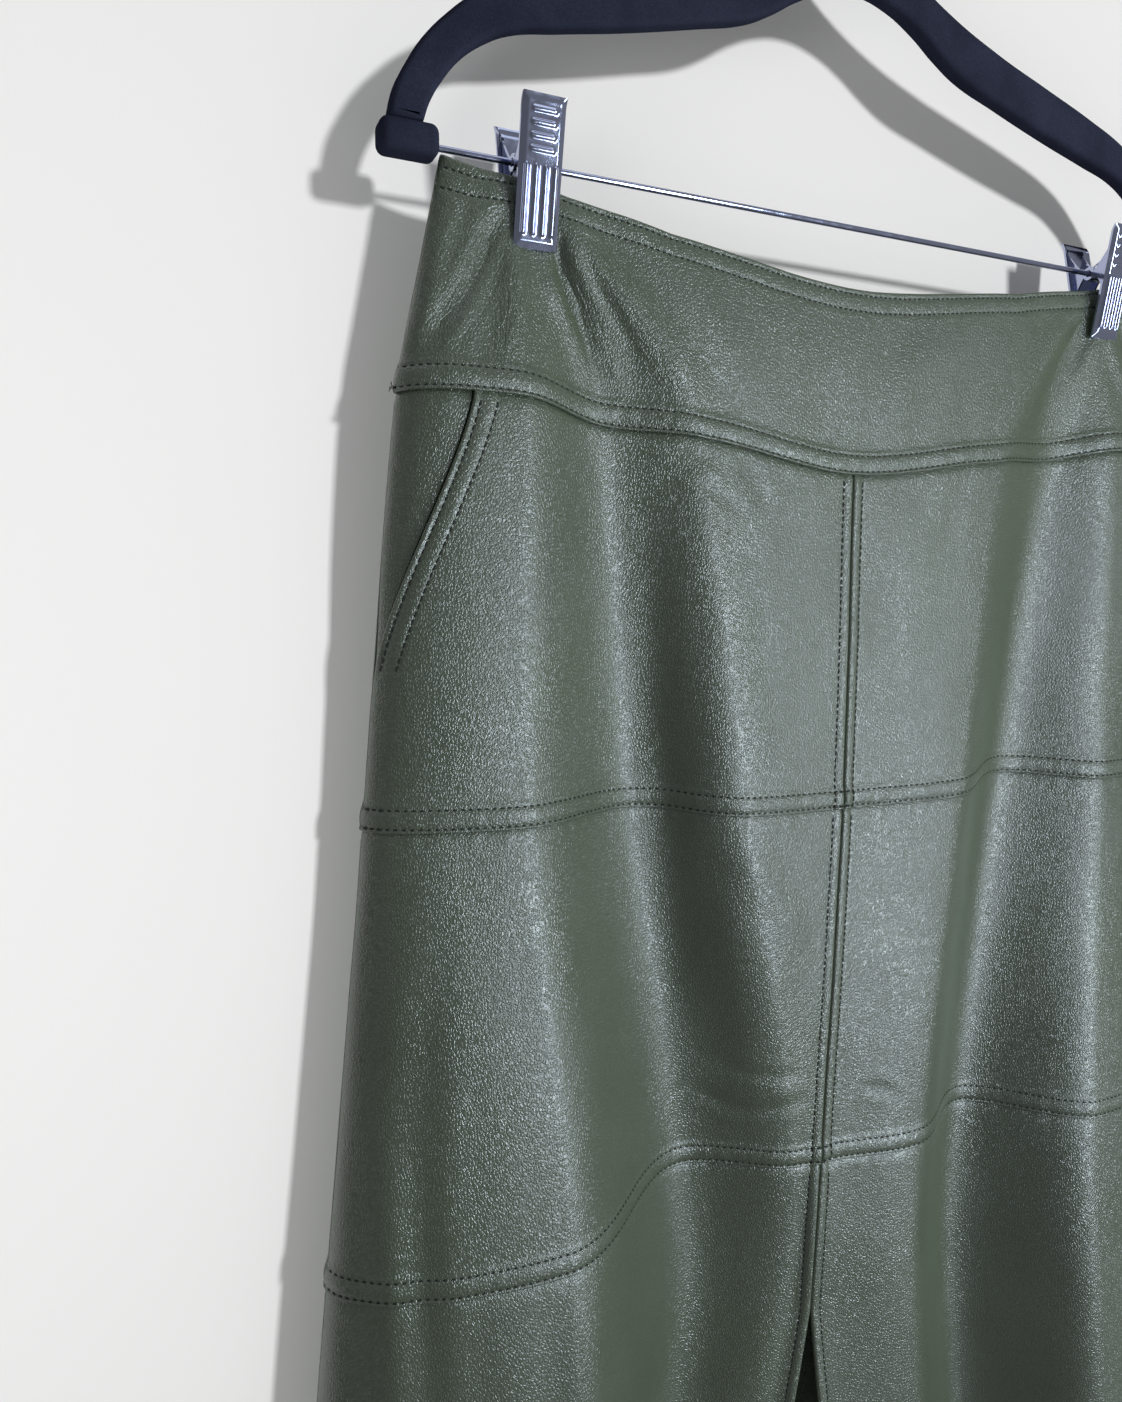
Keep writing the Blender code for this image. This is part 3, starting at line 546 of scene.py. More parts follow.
def place_piece(name, mesh, materials, body=BODY, replaces=(), angle=None):
    mesh.shade_smooth()
    if angle is not None:
        mesh.set_sharp_from_angle(angle=math.radians(angle))
    mesh.materials.clear()
    for material in materials:
        mesh.materials.append(MATERIALS[material]())
    piece = bpy.data.objects.new(name, mesh)
    bpy.context.scene.collection.objects.link(piece)
    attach(piece, body)
    if replaces:
        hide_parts(*replaces)
    return piece


def add_sheet(bm, points):
    """A grid of points, in millimetres, as one open sheet of quads."""
    rows, columns = points.shape[:2]
    verts = bmesh.ops.create_grid(bm, x_segments=columns - 1, y_segments=rows - 1, size=1.0)["verts"]
    for vert, place in zip(verts, (points.reshape(-1, 3) * MM).tolist()):
        vert.co = place


def thinned(count):
    """Every second row or column, with the first and the last."""
    return np.unique(np.append(np.arange(0, count, 2), count - 1))


def leather_panel(node, grid, hangs_from, **edges):
    """One cut piece of leather as a thin closed wall in place of its CAD node."""
    outer, inner, creased, fold_place = panel_heights(grid, **edges)
    grid.outer = grid.point + grid.out * outer[..., None]
    inside = grid.point + grid.out * inner[..., None]
    rows, columns = thinned(outer.shape[0]), thinned(outer.shape[1])
    inside = inside[np.ix_(rows, columns)]
    bm = bmesh.new()
    add_sheet(bm, grid.outer)
    add_sheet(bm, inside)
    bm.faces.ensure_lookup_table()
    outer_faces = (outer.shape[0] - 1) * (outer.shape[1] - 1)
    for face in bm.faces[outer_faces:]:
        face.material_index = 1
    bmesh.ops.bridge_loops(bm, edges=[edge for edge in bm.edges if edge.is_boundary])
    bmesh.ops.recalc_face_normals(bm, faces=bm.faces)
    piece = finish_piece(node + "_leather", bm, ("leather", "backing"), replaces=(node,))
    for name, kind, field, values in (("creased", "FLOAT", "value", creased),
                                      ("fold_place", "FLOAT_VECTOR", "vector", fold_place)):
        attribute = piece.data.attributes.new(name, kind, "POINT")
        table = np.zeros(len(piece.data.vertices) * values.size // creased.size, np.float32)
        table[:values.size] = values.ravel()
        attribute.data.foreach_set(field, table)
    return piece


SEWN = {}   # each row of stitching: stitch places, directions and the leather's outward directions


def sew(group, points, outs, spots=None, reach=None):
    """Marks stitches along a line on the leather, at spots or evenly at the stitch's pitch."""
    if reach is None:
        steps = np.linalg.norm(np.diff(points, axis=0), axis=1)
        reach = np.concatenate([[0], np.cumsum(steps)])
    if spots is None:
        count = max(int((reach[-1] - reach[0] - 2 * ROW_MARGIN) / STITCH_PITCH), 0)
        spare = (reach[-1] - reach[0] - count * STITCH_PITCH) / 2
        spots = reach[0] + spare + STITCH_PITCH * np.arange(count + 1)

    def read(table, at):
        return np.stack([np.interp(at, reach, table[:, k]) for k in range(3)], -1)

    spots = spots[(spots > reach[0] + 0.3) & (spots < reach[-1] - 0.3)]
    along = unit(read(points, spots + 0.8) - read(points, spots - 0.8))
    SEWN.setdefault(group, []).append((read(points, spots), along, unit(read(outs, spots))))


def sew_level(group, grid, row):
    """A level row: a stitch at every second column, and on at that pitch to both edges."""
    reach = grid.from_left[row]
    first, last = len(grid.left) + 1, grid.place.shape[1] - len(grid.right) - 2
    pitch = (reach[last] - reach[first]) / (last - first) * 2
    start = reach[first] - pitch * int((reach[first] - 1.2) / pitch)
    spots = np.arange(start, grid.width[row] - 1.2, pitch)
    sew(group, grid.outer[row], grid.out[row], spots, reach)


def sew_down(group, grid, column, top, bottom=HEM):
    """A row down the panel along one column, from just under a level seam."""
    drops = grid.drop[:, column]
    keep = (drops >= top + UNDER_SEAM) & (drops <= bottom)
    sew(group, grid.outer[keep, column], grid.out[keep, column])


def sew_lap(group, grid):
    """The two rows of stitching over a lapped edge."""
    for row in (NEAR_ROW, FAR_ROW):
        sew_level(group, grid, row_at(grid, row))


def row_at(grid, distance_up):
    """The row that lies this far above the panel's lower edge."""
    return int(np.argmin(np.abs(grid.to_bottom[:, 0] + GAP - distance_up)))


def drops_between(top, bottom, step, lapped=True, tucked=True, hem=False):
    """A panel's rows: its tucked top, even rows, and the lap or hem at its lower edge."""
    first = [top + row for row in (TUCK_ROWS if tucked else PLAIN_EDGE)]
    last = [bottom - row for row in (LAP_ROWS if lapped else HEM_ROWS if hem else PLAIN_EDGE[::-1])]
    count = max(round((last[0] - first[-1]) / step), 1)
    return first + list(np.linspace(first[-1], last[0], count + 1)[1:-1]) + last


# ---- materials ------------------------------------------------------------------------------
# A pattern's scale is how often it repeats in a metre.
def add_node(material, kind, links=(), **settings):
    """Adds a shader node. settings are its own options; links pairs an input with a number or
    with another node's output."""
    shader_node = material.node_tree.nodes.new(kind)
    for option, value in settings.items():
        setattr(shader_node, option, value)
    for socket, value in dict(links).items():
        if isinstance(value, bpy.types.NodeSocket):
            material.node_tree.links.new(value, shader_node.inputs[socket])
        else:
            shader_node.inputs[socket].default_value = value
    return shader_node


def new_material(name):
    material = bpy.data.materials.new(name)
    material.use_nodes = True
    material.node_tree.nodes.clear()
    return material


def close_material(material, numbers, links=()):
    """Puts the Principled shader with its numbers and links on the material's output."""
    shader = add_node(material, "ShaderNodeBsdfPrincipled", {**numbers, **dict(links)})
    add_node(material, "ShaderNodeOutputMaterial", {"Surface": shader.outputs[0]})
    return material


def remember(make):
    """Makes a material once and hands out the same one afterwards."""
    def made():
        known = bpy.data.materials.get(make.__name__)
        return known or make()
    made.__name__ = make.__name__
    return made


@remember
def satin_pebbled_leather():
    """Dyed and embossed leather with a satin top coat: a pebbled grain that sparkles where the
    light grazes it, and finer lines where the skin is drawn together. The lines are 1.3 mm
    apart and 8 mm long, the pores 0.4 mm; the gloss changes over 42 mm and the dye over 71 mm."""
    settings = bpy.context.scene.skirt_leather
    material = new_material("satin_pebbled_leather")
    where = add_node(material, "ShaderNodeTexCoord").outputs["Object"]
    warp = add_node(material, "ShaderNodeTexNoise", {"Vector": where, "Scale": 260.0, "Detail": 2.0})
    pushed = add_node(material, "ShaderNodeVectorMath",
                      {0: warp.outputs["Color"], 1: (0.5, 0.5, 0.5)}, operation="SUBTRACT")
    offset = add_node(material, "ShaderNodeVectorMath",
                      {0: pushed.outputs[0], 1: (0.0011, 0.0011, 0.0011)}, operation="MULTIPLY")
    skin = add_node(material, "ShaderNodeVectorMath", {0: where, 1: offset.outputs[0]}, operation="ADD")
    stretched = add_node(material, "ShaderNodeMapping",
                         {"Vector": skin.outputs[0], "Scale": (1.12, 1.12, 0.86)})
    cells = 1.0 / settings.pebble
    pebbles = add_node(material, "ShaderNodeTexVoronoi",
                       {"Vector": stretched.outputs[0], "Scale": cells}, feature="DISTANCE_TO_EDGE")
    raised = add_node(material, "ShaderNodeMapRange",
                      {"Value": pebbles.outputs["Distance"], "From Max": 0.32},
                      interpolation_type="SMOOTHSTEP")
    creased = add_node(material, "ShaderNodeAttribute", attribute_name="creased")
    fold_place = add_node(material, "ShaderNodeAttribute", attribute_name="fold_place")
    drawn = add_node(material, "ShaderNodeMapping",
                     {"Vector": fold_place.outputs["Vector"], "Scale": (760.0, 120.0, 1.0)})
    lines = add_node(material, "ShaderNodeTexNoise",
                     {"Vector": drawn.outputs[0], "Scale": 1.0, "Detail": 2.0, "Distortion": 0.4})
    line_height = add_node(material, "ShaderNodeMapRange",
                           {"Value": lines.outputs["Fac"], "From Min": 0.36, "From Max": 0.62},
                           interpolation_type="SMOOTHSTEP")
    wrinkled = add_node(material, "ShaderNodeMath",
                        {0: creased.outputs["Fac"], 1: line_height.outputs[0]},
                        operation="MULTIPLY")
    patches = add_node(material, "ShaderNodeTexNoise", {"Vector": where, "Scale": 24.0, "Detail": 1.0})
    grain = add_node(material, "ShaderNodeMath",
                     {0: wrinkled.outputs[0], 1: 2.4, 2: raised.outputs[0]},
                     operation="MULTIPLY_ADD")
    pores = add_node(material, "ShaderNodeTexNoise",
                     {"Vector": where, "Scale": 2600.0, "Detail": 3.0, "Roughness": 0.6})
    height = add_node(material, "ShaderNodeMath",
                      {0: pores.outputs["Fac"], 1: 0.25, 2: grain.outputs[0]},
                      operation="MULTIPLY_ADD")
    bump = add_node(material, "ShaderNodeBump",
                    {"Strength": 0.6, "Distance": 0.00019, "Height": height.outputs[0]})
    dye = add_node(material, "ShaderNodeTexNoise", {"Vector": where, "Scale": 14.0, "Detail": 4.0})
    shade = add_node(material, "ShaderNodeMapRange",
                     {"Value": dye.outputs["Fac"], "From Min": 0.3, "From Max": 0.7,
                      "To Min": 0.93, "To Max": 1.06})
    # painted shade: valley darkens the leather's colour to 0.80 in the grooves between the pebbles,
    # where shade falls; tone multiplies this painted shade with the dye's random tone
    valley = add_node(material, "ShaderNodeMapRange",
                      {"Value": raised.outputs[0], "To Min": 0.80, "To Max": 1.03})
    tone = add_node(material, "ShaderNodeMath", {0: shade.outputs[0], 1: valley.outputs[0]},
                    operation="MULTIPLY")
    colour = add_node(material, "ShaderNodeVectorMath",
                      {0: tuple(settings.colour), 1: tone.outputs[0]}, operation="MULTIPLY")
    gloss = add_node(material, "ShaderNodeMapRange",
                     {"Value": patches.outputs["Fac"], "From Min": 0.3, "From Max": 0.7,
                      "To Min": settings.roughness - 0.03, "To Max": settings.roughness + 0.05})
    return close_material(material, {"IOR": 1.6, "Specular IOR Level": 0.9},
                          {"Base Color": colour.outputs[0], "Roughness": gloss.outputs[0],
                           "Normal": bump.outputs[0]})


@remember
def knitted_backing():
    """The flesh side: a fine matt knit with loops of 0.7 mm, glued to the leather."""
    settings = bpy.context.scene.skirt_leather
    material = new_material("knitted_backing")
    where = add_node(material, "ShaderNodeTexCoord").outputs["Object"]
    knit = add_node(material, "ShaderNodeTexVoronoi", {"Vector": where, "Scale": 1400.0})
    bump = add_node(material, "ShaderNodeBump",
                    {"Strength": 0.5, "Distance": 0.0001, "Height": knit.outputs["Distance"]})
    shade = add_node(material, "ShaderNodeMapRange",
                     {"Value": knit.outputs["Distance"], "To Min": 1.05, "To Max": 0.75})
    colour = add_node(material, "ShaderNodeVectorMath",
                      {0: tuple(settings.backing), 1: shade.outputs[0]}, operation="MULTIPLY")
    return close_material(material, {"Roughness": 0.9},
                          {"Base Color": colour.outputs[0], "Normal": bump.outputs[0]})


@remember
def spun_polyester_thread():
    """Three-ply polyester thread, drawn tight: matt, with its twist across it."""
    settings = bpy.context.scene.skirt_sewing
    material = new_material("spun_polyester_thread")
    where = add_node(material, "ShaderNodeTexCoord").outputs["Object"]
    twist = add_node(material, "ShaderNodeTexWave", {"Vector": where, "Scale": 900.0,
                                                     "Distortion": 2.0}, bands_direction="DIAGONAL")
    bump = add_node(material, "ShaderNodeBump",
                    {"Strength": 0.4, "Distance": 0.00005, "Height": twist.outputs["Fac"]})
    # painted shade: the thread's colour is darker where its twist's bump is low, in the grooves between
    # the plies
    shade = add_node(material, "ShaderNodeMapRange",
                     {"Value": twist.outputs["Fac"], "To Min": 0.8, "To Max": 1.15})
    colour = add_node(material, "ShaderNodeVectorMath",
                      {0: tuple(settings.colour), 1: shade.outputs[0]}, operation="MULTIPLY")
    return close_material(material, {"Roughness": 0.7},
                          {"Base Color": colour.outputs[0], "Normal": bump.outputs[0]})


@remember
def short_nylon_flock():
    """Moulded plastic with short nylon flock: nearly black, soft at its edges, never shiny. Its
    fibres are drawn 0.5 mm wide, coarser than real ones, so that they show."""
    settings = bpy.context.scene.skirt_hanger
    material = new_material("short_nylon_flock")
    where = add_node(material, "ShaderNodeTexCoord").outputs["Object"]
    fibres = add_node(material, "ShaderNodeTexNoise",
                      {"Vector": where, "Scale": 1900.0, "Detail": 3.0, "Roughness": 0.7})
    rubbed = add_node(material, "ShaderNodeTexNoise", {"Vector": where, "Scale": 45.0, "Detail": 3.0})
    shade = add_node(material, "ShaderNodeMapRange",
                     {"Value": rubbed.outputs["Fac"], "From Min": 0.3, "From Max": 0.7,
                      "To Min": 0.85, "To Max": 1.2})
    # painted shade: the speckle follows the fibres' bump, lighter on the raised fibres and darker in
    # the gaps between them
    speckle = add_node(material, "ShaderNodeMapRange",
                       {"Value": fibres.outputs["Fac"], "From Min": 0.3, "From Max": 0.7,
                        "To Min": 0.75, "To Max": 1.25})
    tone = add_node(material, "ShaderNodeMath", {0: shade.outputs[0], 1: speckle.outputs[0]},
                    operation="MULTIPLY")
    colour = add_node(material, "ShaderNodeVectorMath",
                      {0: tuple(settings.flock), 1: tone.outputs[0]}, operation="MULTIPLY")
    bump = add_node(material, "ShaderNodeBump",
                    {"Strength": 0.6, "Distance": 0.00012, "Height": fibres.outputs["Fac"]})
    return close_material(material, {"Roughness": 0.95, "IOR": 1.05, "Specular IOR Level": 0.0},
                          {"Base Color": colour.outputs[0], "Normal": bump.outputs[0]})


@remember
def bright_chrome():
    """Chrome plate on pressed or drawn steel: mirror bright, with faint handling marks about
    6 mm wide."""
    settings = bpy.context.scene.skirt_hanger
    material = new_material("bright_chrome")
    where = add_node(material, "ShaderNodeTexCoord").outputs["Object"]
    smears = add_node(material, "ShaderNodeTexNoise",
                      {"Vector": where, "Scale": 180.0, "Detail": 4.0, "Roughness": 0.65})
    gloss = add_node(material, "ShaderNodeMapRange",
                     {"Value": smears.outputs["Fac"], "From Min": 0.35, "From Max": 0.7,
                      "To Min": 0.07, "To Max": 0.19})
    bump = add_node(material, "ShaderNodeBump",
                    {"Strength": 0.12, "Distance": 0.00008, "Height": smears.outputs["Fac"]})
    tint = add_node(material, "ShaderNodeMapRange",
                    {"Value": smears.outputs["Fac"], "From Min": 0.3, "From Max": 0.7,
                     "To Min": 0.96, "To Max": 1.0})
    # painted reflection: the bluish tint of settings.chrome stands in for a reflected bluish room
    colour = add_node(material, "ShaderNodeVectorMath",
                      {0: tuple(settings.chrome), 1: tint.outputs[0]}, operation="MULTIPLY")
    return close_material(material, {"Metallic": 1.0},
                          {"Base Color": colour.outputs[0], "Roughness": gloss.outputs[0],
                           "Normal": bump.outputs[0]})


@remember
def enamelled_zinc():
    """A die-cast slider and pull in the skirt's colour: smooth enamel, a little uneven in tone and
    gloss.
    """
    settings = bpy.context.scene.skirt_hanger
    material = new_material("enamelled_zinc")
    where = add_node(material, "ShaderNodeTexCoord").outputs["Object"]
    drops = add_node(material, "ShaderNodeTexNoise", {"Vector": where, "Scale": 420.0, "Detail": 3.0})
    shade = add_node(material, "ShaderNodeMapRange",
                     {"Value": drops.outputs["Fac"], "From Min": 0.3, "From Max": 0.7,
                      "To Min": 0.88, "To Max": 1.1})
    colour = add_node(material, "ShaderNodeVectorMath",
                      {0: tuple(settings.zip_enamel), 1: shade.outputs[0]}, operation="MULTIPLY")
    gloss = add_node(material, "ShaderNodeMapRange",
                     {"Value": drops.outputs["Fac"], "To Min": 0.25, "To Max": 0.42})
    bump = add_node(material, "ShaderNodeBump",
                    {"Strength": 0.15, "Distance": 0.00006, "Height": drops.outputs["Fac"]})
    return close_material(material, {"Metallic": 0.35},
                          {"Base Color": colour.outputs[0], "Roughness": gloss.outputs[0],
                           "Normal": bump.outputs[0]})


@remember
def matt_wall_paint():
    """Matt white emulsion on a smooth wall, with a roller's marks of 3 mm; it shows from the
    room's side only."""
    material = new_material("matt_wall_paint")
    where = add_node(material, "ShaderNodeTexCoord").outputs["Object"]
    roller = add_node(material, "ShaderNodeTexNoise", {"Vector": where, "Scale": 320.0, "Detail": 3.0})
    bump = add_node(material, "ShaderNodeBump",
                    {"Strength": 0.08, "Distance": 0.0002, "Height": roller.outputs["Fac"]})
    paint = add_node(material, "ShaderNodeBsdfPrincipled",
                     {"Base Color": (*linear("eeeeee"), 1.0), "Roughness": 0.9,
                      "Normal": bump.outputs[0]})
    clear = add_node(material, "ShaderNodeBsdfTransparent")
    behind = add_node(material, "ShaderNodeNewGeometry")
    both = add_node(material, "ShaderNodeMixShader",
                    {0: behind.outputs["Backfacing"], 1: paint.outputs[0], 2: clear.outputs[0]})
    add_node(material, "ShaderNodeOutputMaterial", {"Surface": both.outputs[0]})
    return material


@remember
def pale_floor():
    """A pale painted floor, slightly uneven in its gloss."""
    material = new_material("pale_floor")
    where = add_node(material, "ShaderNodeTexCoord").outputs["Object"]
    worn = add_node(material, "ShaderNodeTexNoise", {"Vector": where, "Scale": 6.0, "Detail": 4.0})
    gloss = add_node(material, "ShaderNodeMapRange",
                     {"Value": worn.outputs["Fac"], "To Min": 0.5, "To Max": 0.7})
    return close_material(material, {"Base Color": (*linear("dcdad5"), 1.0)},
                          {"Roughness": gloss.outputs[0]})


MATERIALS = {
    "leather": satin_pebbled_leather, "backing": knitted_backing, "thread": spun_polyester_thread,
    "flock": short_nylon_flock, "chrome": bright_chrome, "enamel": enamelled_zinc,
    "wall": matt_wall_paint, "floor": pale_floor,
}


# ---- the skirt's panels ---------------------------------------------------------------------
def yoke_drops(step):
    """A yoke's rows: those of its waist edge, even rows, and those of its lap."""
    laps = [YOKE - row for row in LAP_ROWS]
    count = round((laps[0] - WAIST_DROPS[-1]) / step)
    between = np.linspace(WAIST_DROPS[-1], laps[0], count + 1)[1:-1]
    return [*WAIST_DROPS, *between, *laps]


def make_front_yoke():
    """The front yoke in one piece, with its rows under the waist and over the yoke seam."""
    grid = make_grid("front", 0, yoke_drops(GRID_STEP), waist=True)
    leather_panel("front_yoke", grid, ["clip_left_jaws", "clip_right_jaws"], top="waist",
                  bottom="lapped")
    for row in WAIST_ROWS:
        sew_level("waist", grid, WAIST_DROPS.index(row))
    sew_lap("yoke_seam", grid)


def make_pocket_tier(half, side):
    """The front tier under the yoke, cut away at the pocket, and the piece behind the opening."""
    drops = np.array(drops_between(YOKE, HIP, GRID_STEP))
    edge = -1.0 * pocket_place(drops) if half < 0 else pocket_place(drops)
    zero = np.zeros(len(drops))
    borders = (edge, zero) if half < 0 else (zero, edge)
    ends = (POCKET_EDGE, CENTRE_EDGE) if half < 0 else (CENTRE_EDGE, POCKET_EDGE)
    grid = make_grid("front", half, drops, borders, *ends)
    opening = np.clip((POCKET_DROP - 1 - drops) / POCKET_FADE, 0, 1)[:, None]
    welt, seam = (POCKET_RELIEF, opening), (CENTRE_RELIEF, 1.0)
    reliefs = {"left": welt, "right": seam} if half < 0 else {"left": seam, "right": welt}
    leather_panel("front_upper_" + side, grid, ["front_yoke_leather"], top="tucked",
                  bottom="lapped", **reliefs)
    centre = CENTRE_EDGE.index(CENTRE_ROW)
    sew_down("centre", grid, column_from(grid, half, centre), YOKE)
    for row in POCKET_ROWS:
        column = column_from(grid, -half, POCKET_EDGE.index(row))
        sew_down("pockets", grid, column, YOKE, POCKET_DROP - 4)
    sew_lap("hip_seam", grid)

    end = YOKE + POCKET_SIDE_SHARE * (POCKET_DROP - YOKE)
    drops = np.array([drop for drop in drops_between(YOKE, POCKET_DROP, GRID_STEP, lapped=False)
                      if drop < end])
    edge = pocket_place(drops)
    one = np.ones(len(drops))
    borders = (-one, -edge) if half < 0 else (edge, one)
    grid = make_grid("front", half, drops, borders)
    sunk = {"right" if half < 0 else "left": (SUNK_RELIEF, 1.0)}
    leather_panel("pocket_side_" + side, grid, ["front_yoke_leather"], top="tucked", **sunk)


def column_from(grid, half, number):
    """A column counted from the middle of a half; with the half's sign turned, from its side."""
    return grid.place.shape[1] - 1 - number if half < 0 else number


def make_front_tiers(half, side):
    """The front's middle and lower tier of one half; the lower one is open at the slit."""
    ends = (PLAIN_EDGE, CENTRE_EDGE) if half < 0 else (CENTRE_EDGE, PLAIN_EDGE)
    centre = CENTRE_EDGE.index(CENTRE_ROW)
    grid = make_grid("front", half, drops_between(HIP, LOW, GRID_STEP), None, *ends)
    seam = {"right" if half < 0 else "left": (CENTRE_RELIEF, 1.0)}
    leather_panel("front_middle_" + side, grid, ["front_upper_%s_leather" % side], top="tucked",
                  bottom="lapped", **seam)
    sew_down("centre", grid, column_from(grid, half, centre), HIP)
    sew_lap("low_seam", grid)

    drops = drops_between(LOW, HEM, 2 * GRID_STEP, lapped=False, hem=True)
    grid = make_grid("front", half, drops, None, *ends, LOWER_STEP)
    seam = {"right" if half < 0 else "left": (CENTRE_RELIEF, 1.0)}
    leather_panel("front_lower_" + side, grid, ["front_middle_%s_leather" % side], top="tucked",
                  bottom="hem", **seam)
    sew_down("slit", grid, column_from(grid, half, centre), LOW)
    sew_level("hem", grid, row_at(grid, HEM_ROW))


def make_back():
    """The back's yoke and three tiers, sewn edge to edge down the middle."""
    for half, side in HALVES:
        edges = {"right" if half < 0 else "left": CLOSED_EDGE}
        grid = make_grid("back", half, yoke_drops(BACK_STEP), waist=True, **edges)
        leather_panel("back_yoke_" + side, grid, ["clip_%s_jaws" % side], top="waist",
                      bottom="lapped")
        for row in WAIST_ROWS:
            sew_level("back_waist", grid, WAIST_DROPS.index(row))
        sew_lap("back_yoke_seam", grid)
        above = "back_yoke_%s_leather" % side
        for tier, top, bottom, seam in (("upper", YOKE, HIP, "hip"), ("middle", HIP, LOW, "low")):
            grid = make_grid("back", half, drops_between(top, bottom, BACK_STEP), **edges)
            above = leather_panel("back_%s_%s" % (tier, side), grid, [above], top="tucked",
                                  bottom="lapped").name
            sew_lap("back_%s_seam" % seam, grid)
        drops = drops_between(LOW, HEM, BACK_STEP, lapped=False, hem=True)
        grid = make_grid("back", half, drops, step=LOWER_STEP, **edges)
        leather_panel("back_lower_" + side, grid, [above], top="tucked", bottom="hem")
        sew_level("back_hem", grid, row_at(grid, HEM_ROW))


THREAD_FLATNESS = 1.3   # a stitch is this much wider than thick
THREAD_END_RADIUS = 0.16
THREAD_PROUD = 0.12     # a stitch's middle lies this far over the dimpled leather


def make_stitches():
    """Every row of stitching: the thread's short runs, each sunk a little into the leather."""
    if not SEWN:
        raise RuntimeError("the leather comes before its stitches")
    settings = bpy.context.scene.skirt_sewing
    for group, rows in SEWN.items():
        joined = bmesh.new()
        for row in rows:
            strip = bpy.data.meshes.new(group)
            add_stitches(strip, row, settings)
            joined.from_mesh(strip)
            bpy.data.meshes.remove(strip)
        finish_piece("stitches_" + group, joined, ("thread",))


def add_stitches(strip, row, settings):
    """One row's stitches as small drawn-tight beads of thread."""
    bm = bmesh.new()
    size = Matrix.Diagonal((settings.length / 2, settings.width / 2,
                            settings.width / 2 / THREAD_FLATNESS, 1.0))
    lying = size @ Matrix.Rotation(math.pi / 2, 4, "Y")
    for centre, along, out in zip(*row):
        across = np.cross(out, along)
        turn = Matrix((along, across, np.cross(along, across))).transposed().to_4x4()
        spot = Matrix.Translation(Vector(centre + out * THREAD_PROUD) * MM)
        bmesh.ops.create_uvsphere(bm, u_segments=6, v_segments=4, radius=1.0,
                                  matrix=spot @ turn @ lying)
    bmesh.ops.recalc_face_normals(bm, faces=bm.faces)
    bm.to_mesh(strip)
    bm.free()


def make_thread_ends():
    """A few cut thread ends where the yoke's rows meet the side seam."""
    start = Vector((-206.9, 3.2, -276.6))
    ends = (((-1.2, -0.5, 0.3), (-2.2, -1.1, -0.5)), ((-1.0, 0.1, 0.8), (-1.3, -0.6, 1.9)),
            ((-0.8, -0.9, -0.6), (-0.4, -1.6, -1.6)), ((-1.5, -0.2, -0.4), (-2.0, 0.4, -1.4)))
    curve = new_wire("thread_ends", THREAD_END_RADIUS, 2)
    for middle, tip in ends:
        spline = curve.splines.new("BEZIER")
        spline.bezier_points.add(2)
        for point, place in zip(spline.bezier_points, ((0.6, 0, 0), middle, tip)):
            point.co = (start + Vector(place)) * MM
            point.handle_left_type = point.handle_right_type = "AUTO"
    place_piece("thread_ends", curve_mesh(curve), ("thread",))


# ---- shapes that the zip, the hanger and the clips share -------------------------------------
def curve_mesh(curve, matrix=None):
    """A curve's mesh with its caps welded on, placed by a matrix."""
    holder = bpy.data.objects.new(curve.name, curve)
    bpy.context.scene.collection.objects.link(holder)
    bpy.context.view_layer.update()
    evaluated = holder.evaluated_get(bpy.context.evaluated_depsgraph_get())
    mesh = bpy.data.meshes.new_from_object(evaluated)
    bpy.data.objects.remove(holder)
    bpy.data.curves.remove(curve)
    bm = bmesh.new()
    bm.from_mesh(mesh)
    bmesh.ops.remove_doubles(bm, verts=bm.verts, dist=1e-6)
    if matrix is not None:
        bmesh.ops.transform(bm, matrix=matrix, verts=bm.verts)
    bmesh.ops.recalc_face_normals(bm, faces=bm.faces)
    bm.to_mesh(mesh)
    bm.free()
    return mesh


def new_wire(name, radius, resolution):
    """A curve for round wire with closed ends, still without a route; its radius in
    millimetres."""
    curve = bpy.data.curves.new(name, "CURVE")
    curve.dimensions = "3D"
    curve.bevel_depth = radius * MM
    curve.bevel_resolution = resolution
    curve.use_fill_caps = True
    return curve


def bent_wire(name, route, radius, resolution):
    """Round wire bent along a route of points, in millimetres."""
    curve = new_wire(name, radius, resolution)
    spline = curve.splines.new("POLY")
    spline.points.add(len(route) - 1)
    for point, (x, y, z) in zip(spline.points, route):
        point.co = (x * MM, y * MM, z * MM, 1.0)
    return curve_mesh(curve)


def outline_mesh(name, outlines, thick, rounding, resolution):
    """A flat shape facing -Y, rounded at its edges, its sizes in millimetres. Each outline is
    its points and the numbers of its sharp corners; the later outlines are holes."""
    curve = bpy.data.curves.new(name, "CURVE")
    curve.dimensions = "2D"
    curve.fill_mode = "BOTH"
    curve.extrude = (thick / 2 - rounding) * MM
    curve.bevel_depth = rounding * MM
    curve.bevel_resolution = resolution
    curve.offset = -rounding * MM
    curve.resolution_u = 8
    for points, sharp in outlines:
        spline = curve.splines.new("BEZIER")
        spline.bezier_points.add(len(points) - 1)
        for number, (point, (x, z)) in enumerate(zip(spline.bezier_points, points)):
            point.co = (x * MM, z * MM, 0.0)
            kind = "VECTOR" if number in sharp else "AUTO"
            point.handle_left_type = point.handle_right_type = kind
        spline.use_cyclic_u = True
    return curve_mesh(curve, Matrix.Rotation(math.pi / 2, 4, "X"))


def soft_box(bm, centre, size, rounding, segments=3):
    """A box with rounded edges in bm, its centre and sizes in millimetres."""
    place = Matrix.Translation(Vector(centre) * MM) @ Matrix.Diagonal((*(Vector(size) * MM), 1.0))
    verts = bmesh.ops.create_cube(bm, size=1.0, matrix=place)["verts"]
    edges = list({edge for vert in verts for edge in vert.link_edges})
    bmesh.ops.bevel(bm, geom=edges, offset=rounding * MM, affect="EDGES", segments=segments,
                    profile=0.5, material=-1)


def rod_along_x(bm, centre, radius, length, segments):
    place = Matrix.Translation(Vector(centre) * MM) @ Matrix.Rotation(math.pi / 2, 4, "Y")
    bmesh.ops.create_cone(bm, cap_ends=True, segments=segments, radius1=radius * MM,
                          radius2=radius * MM, depth=length * MM, matrix=place)


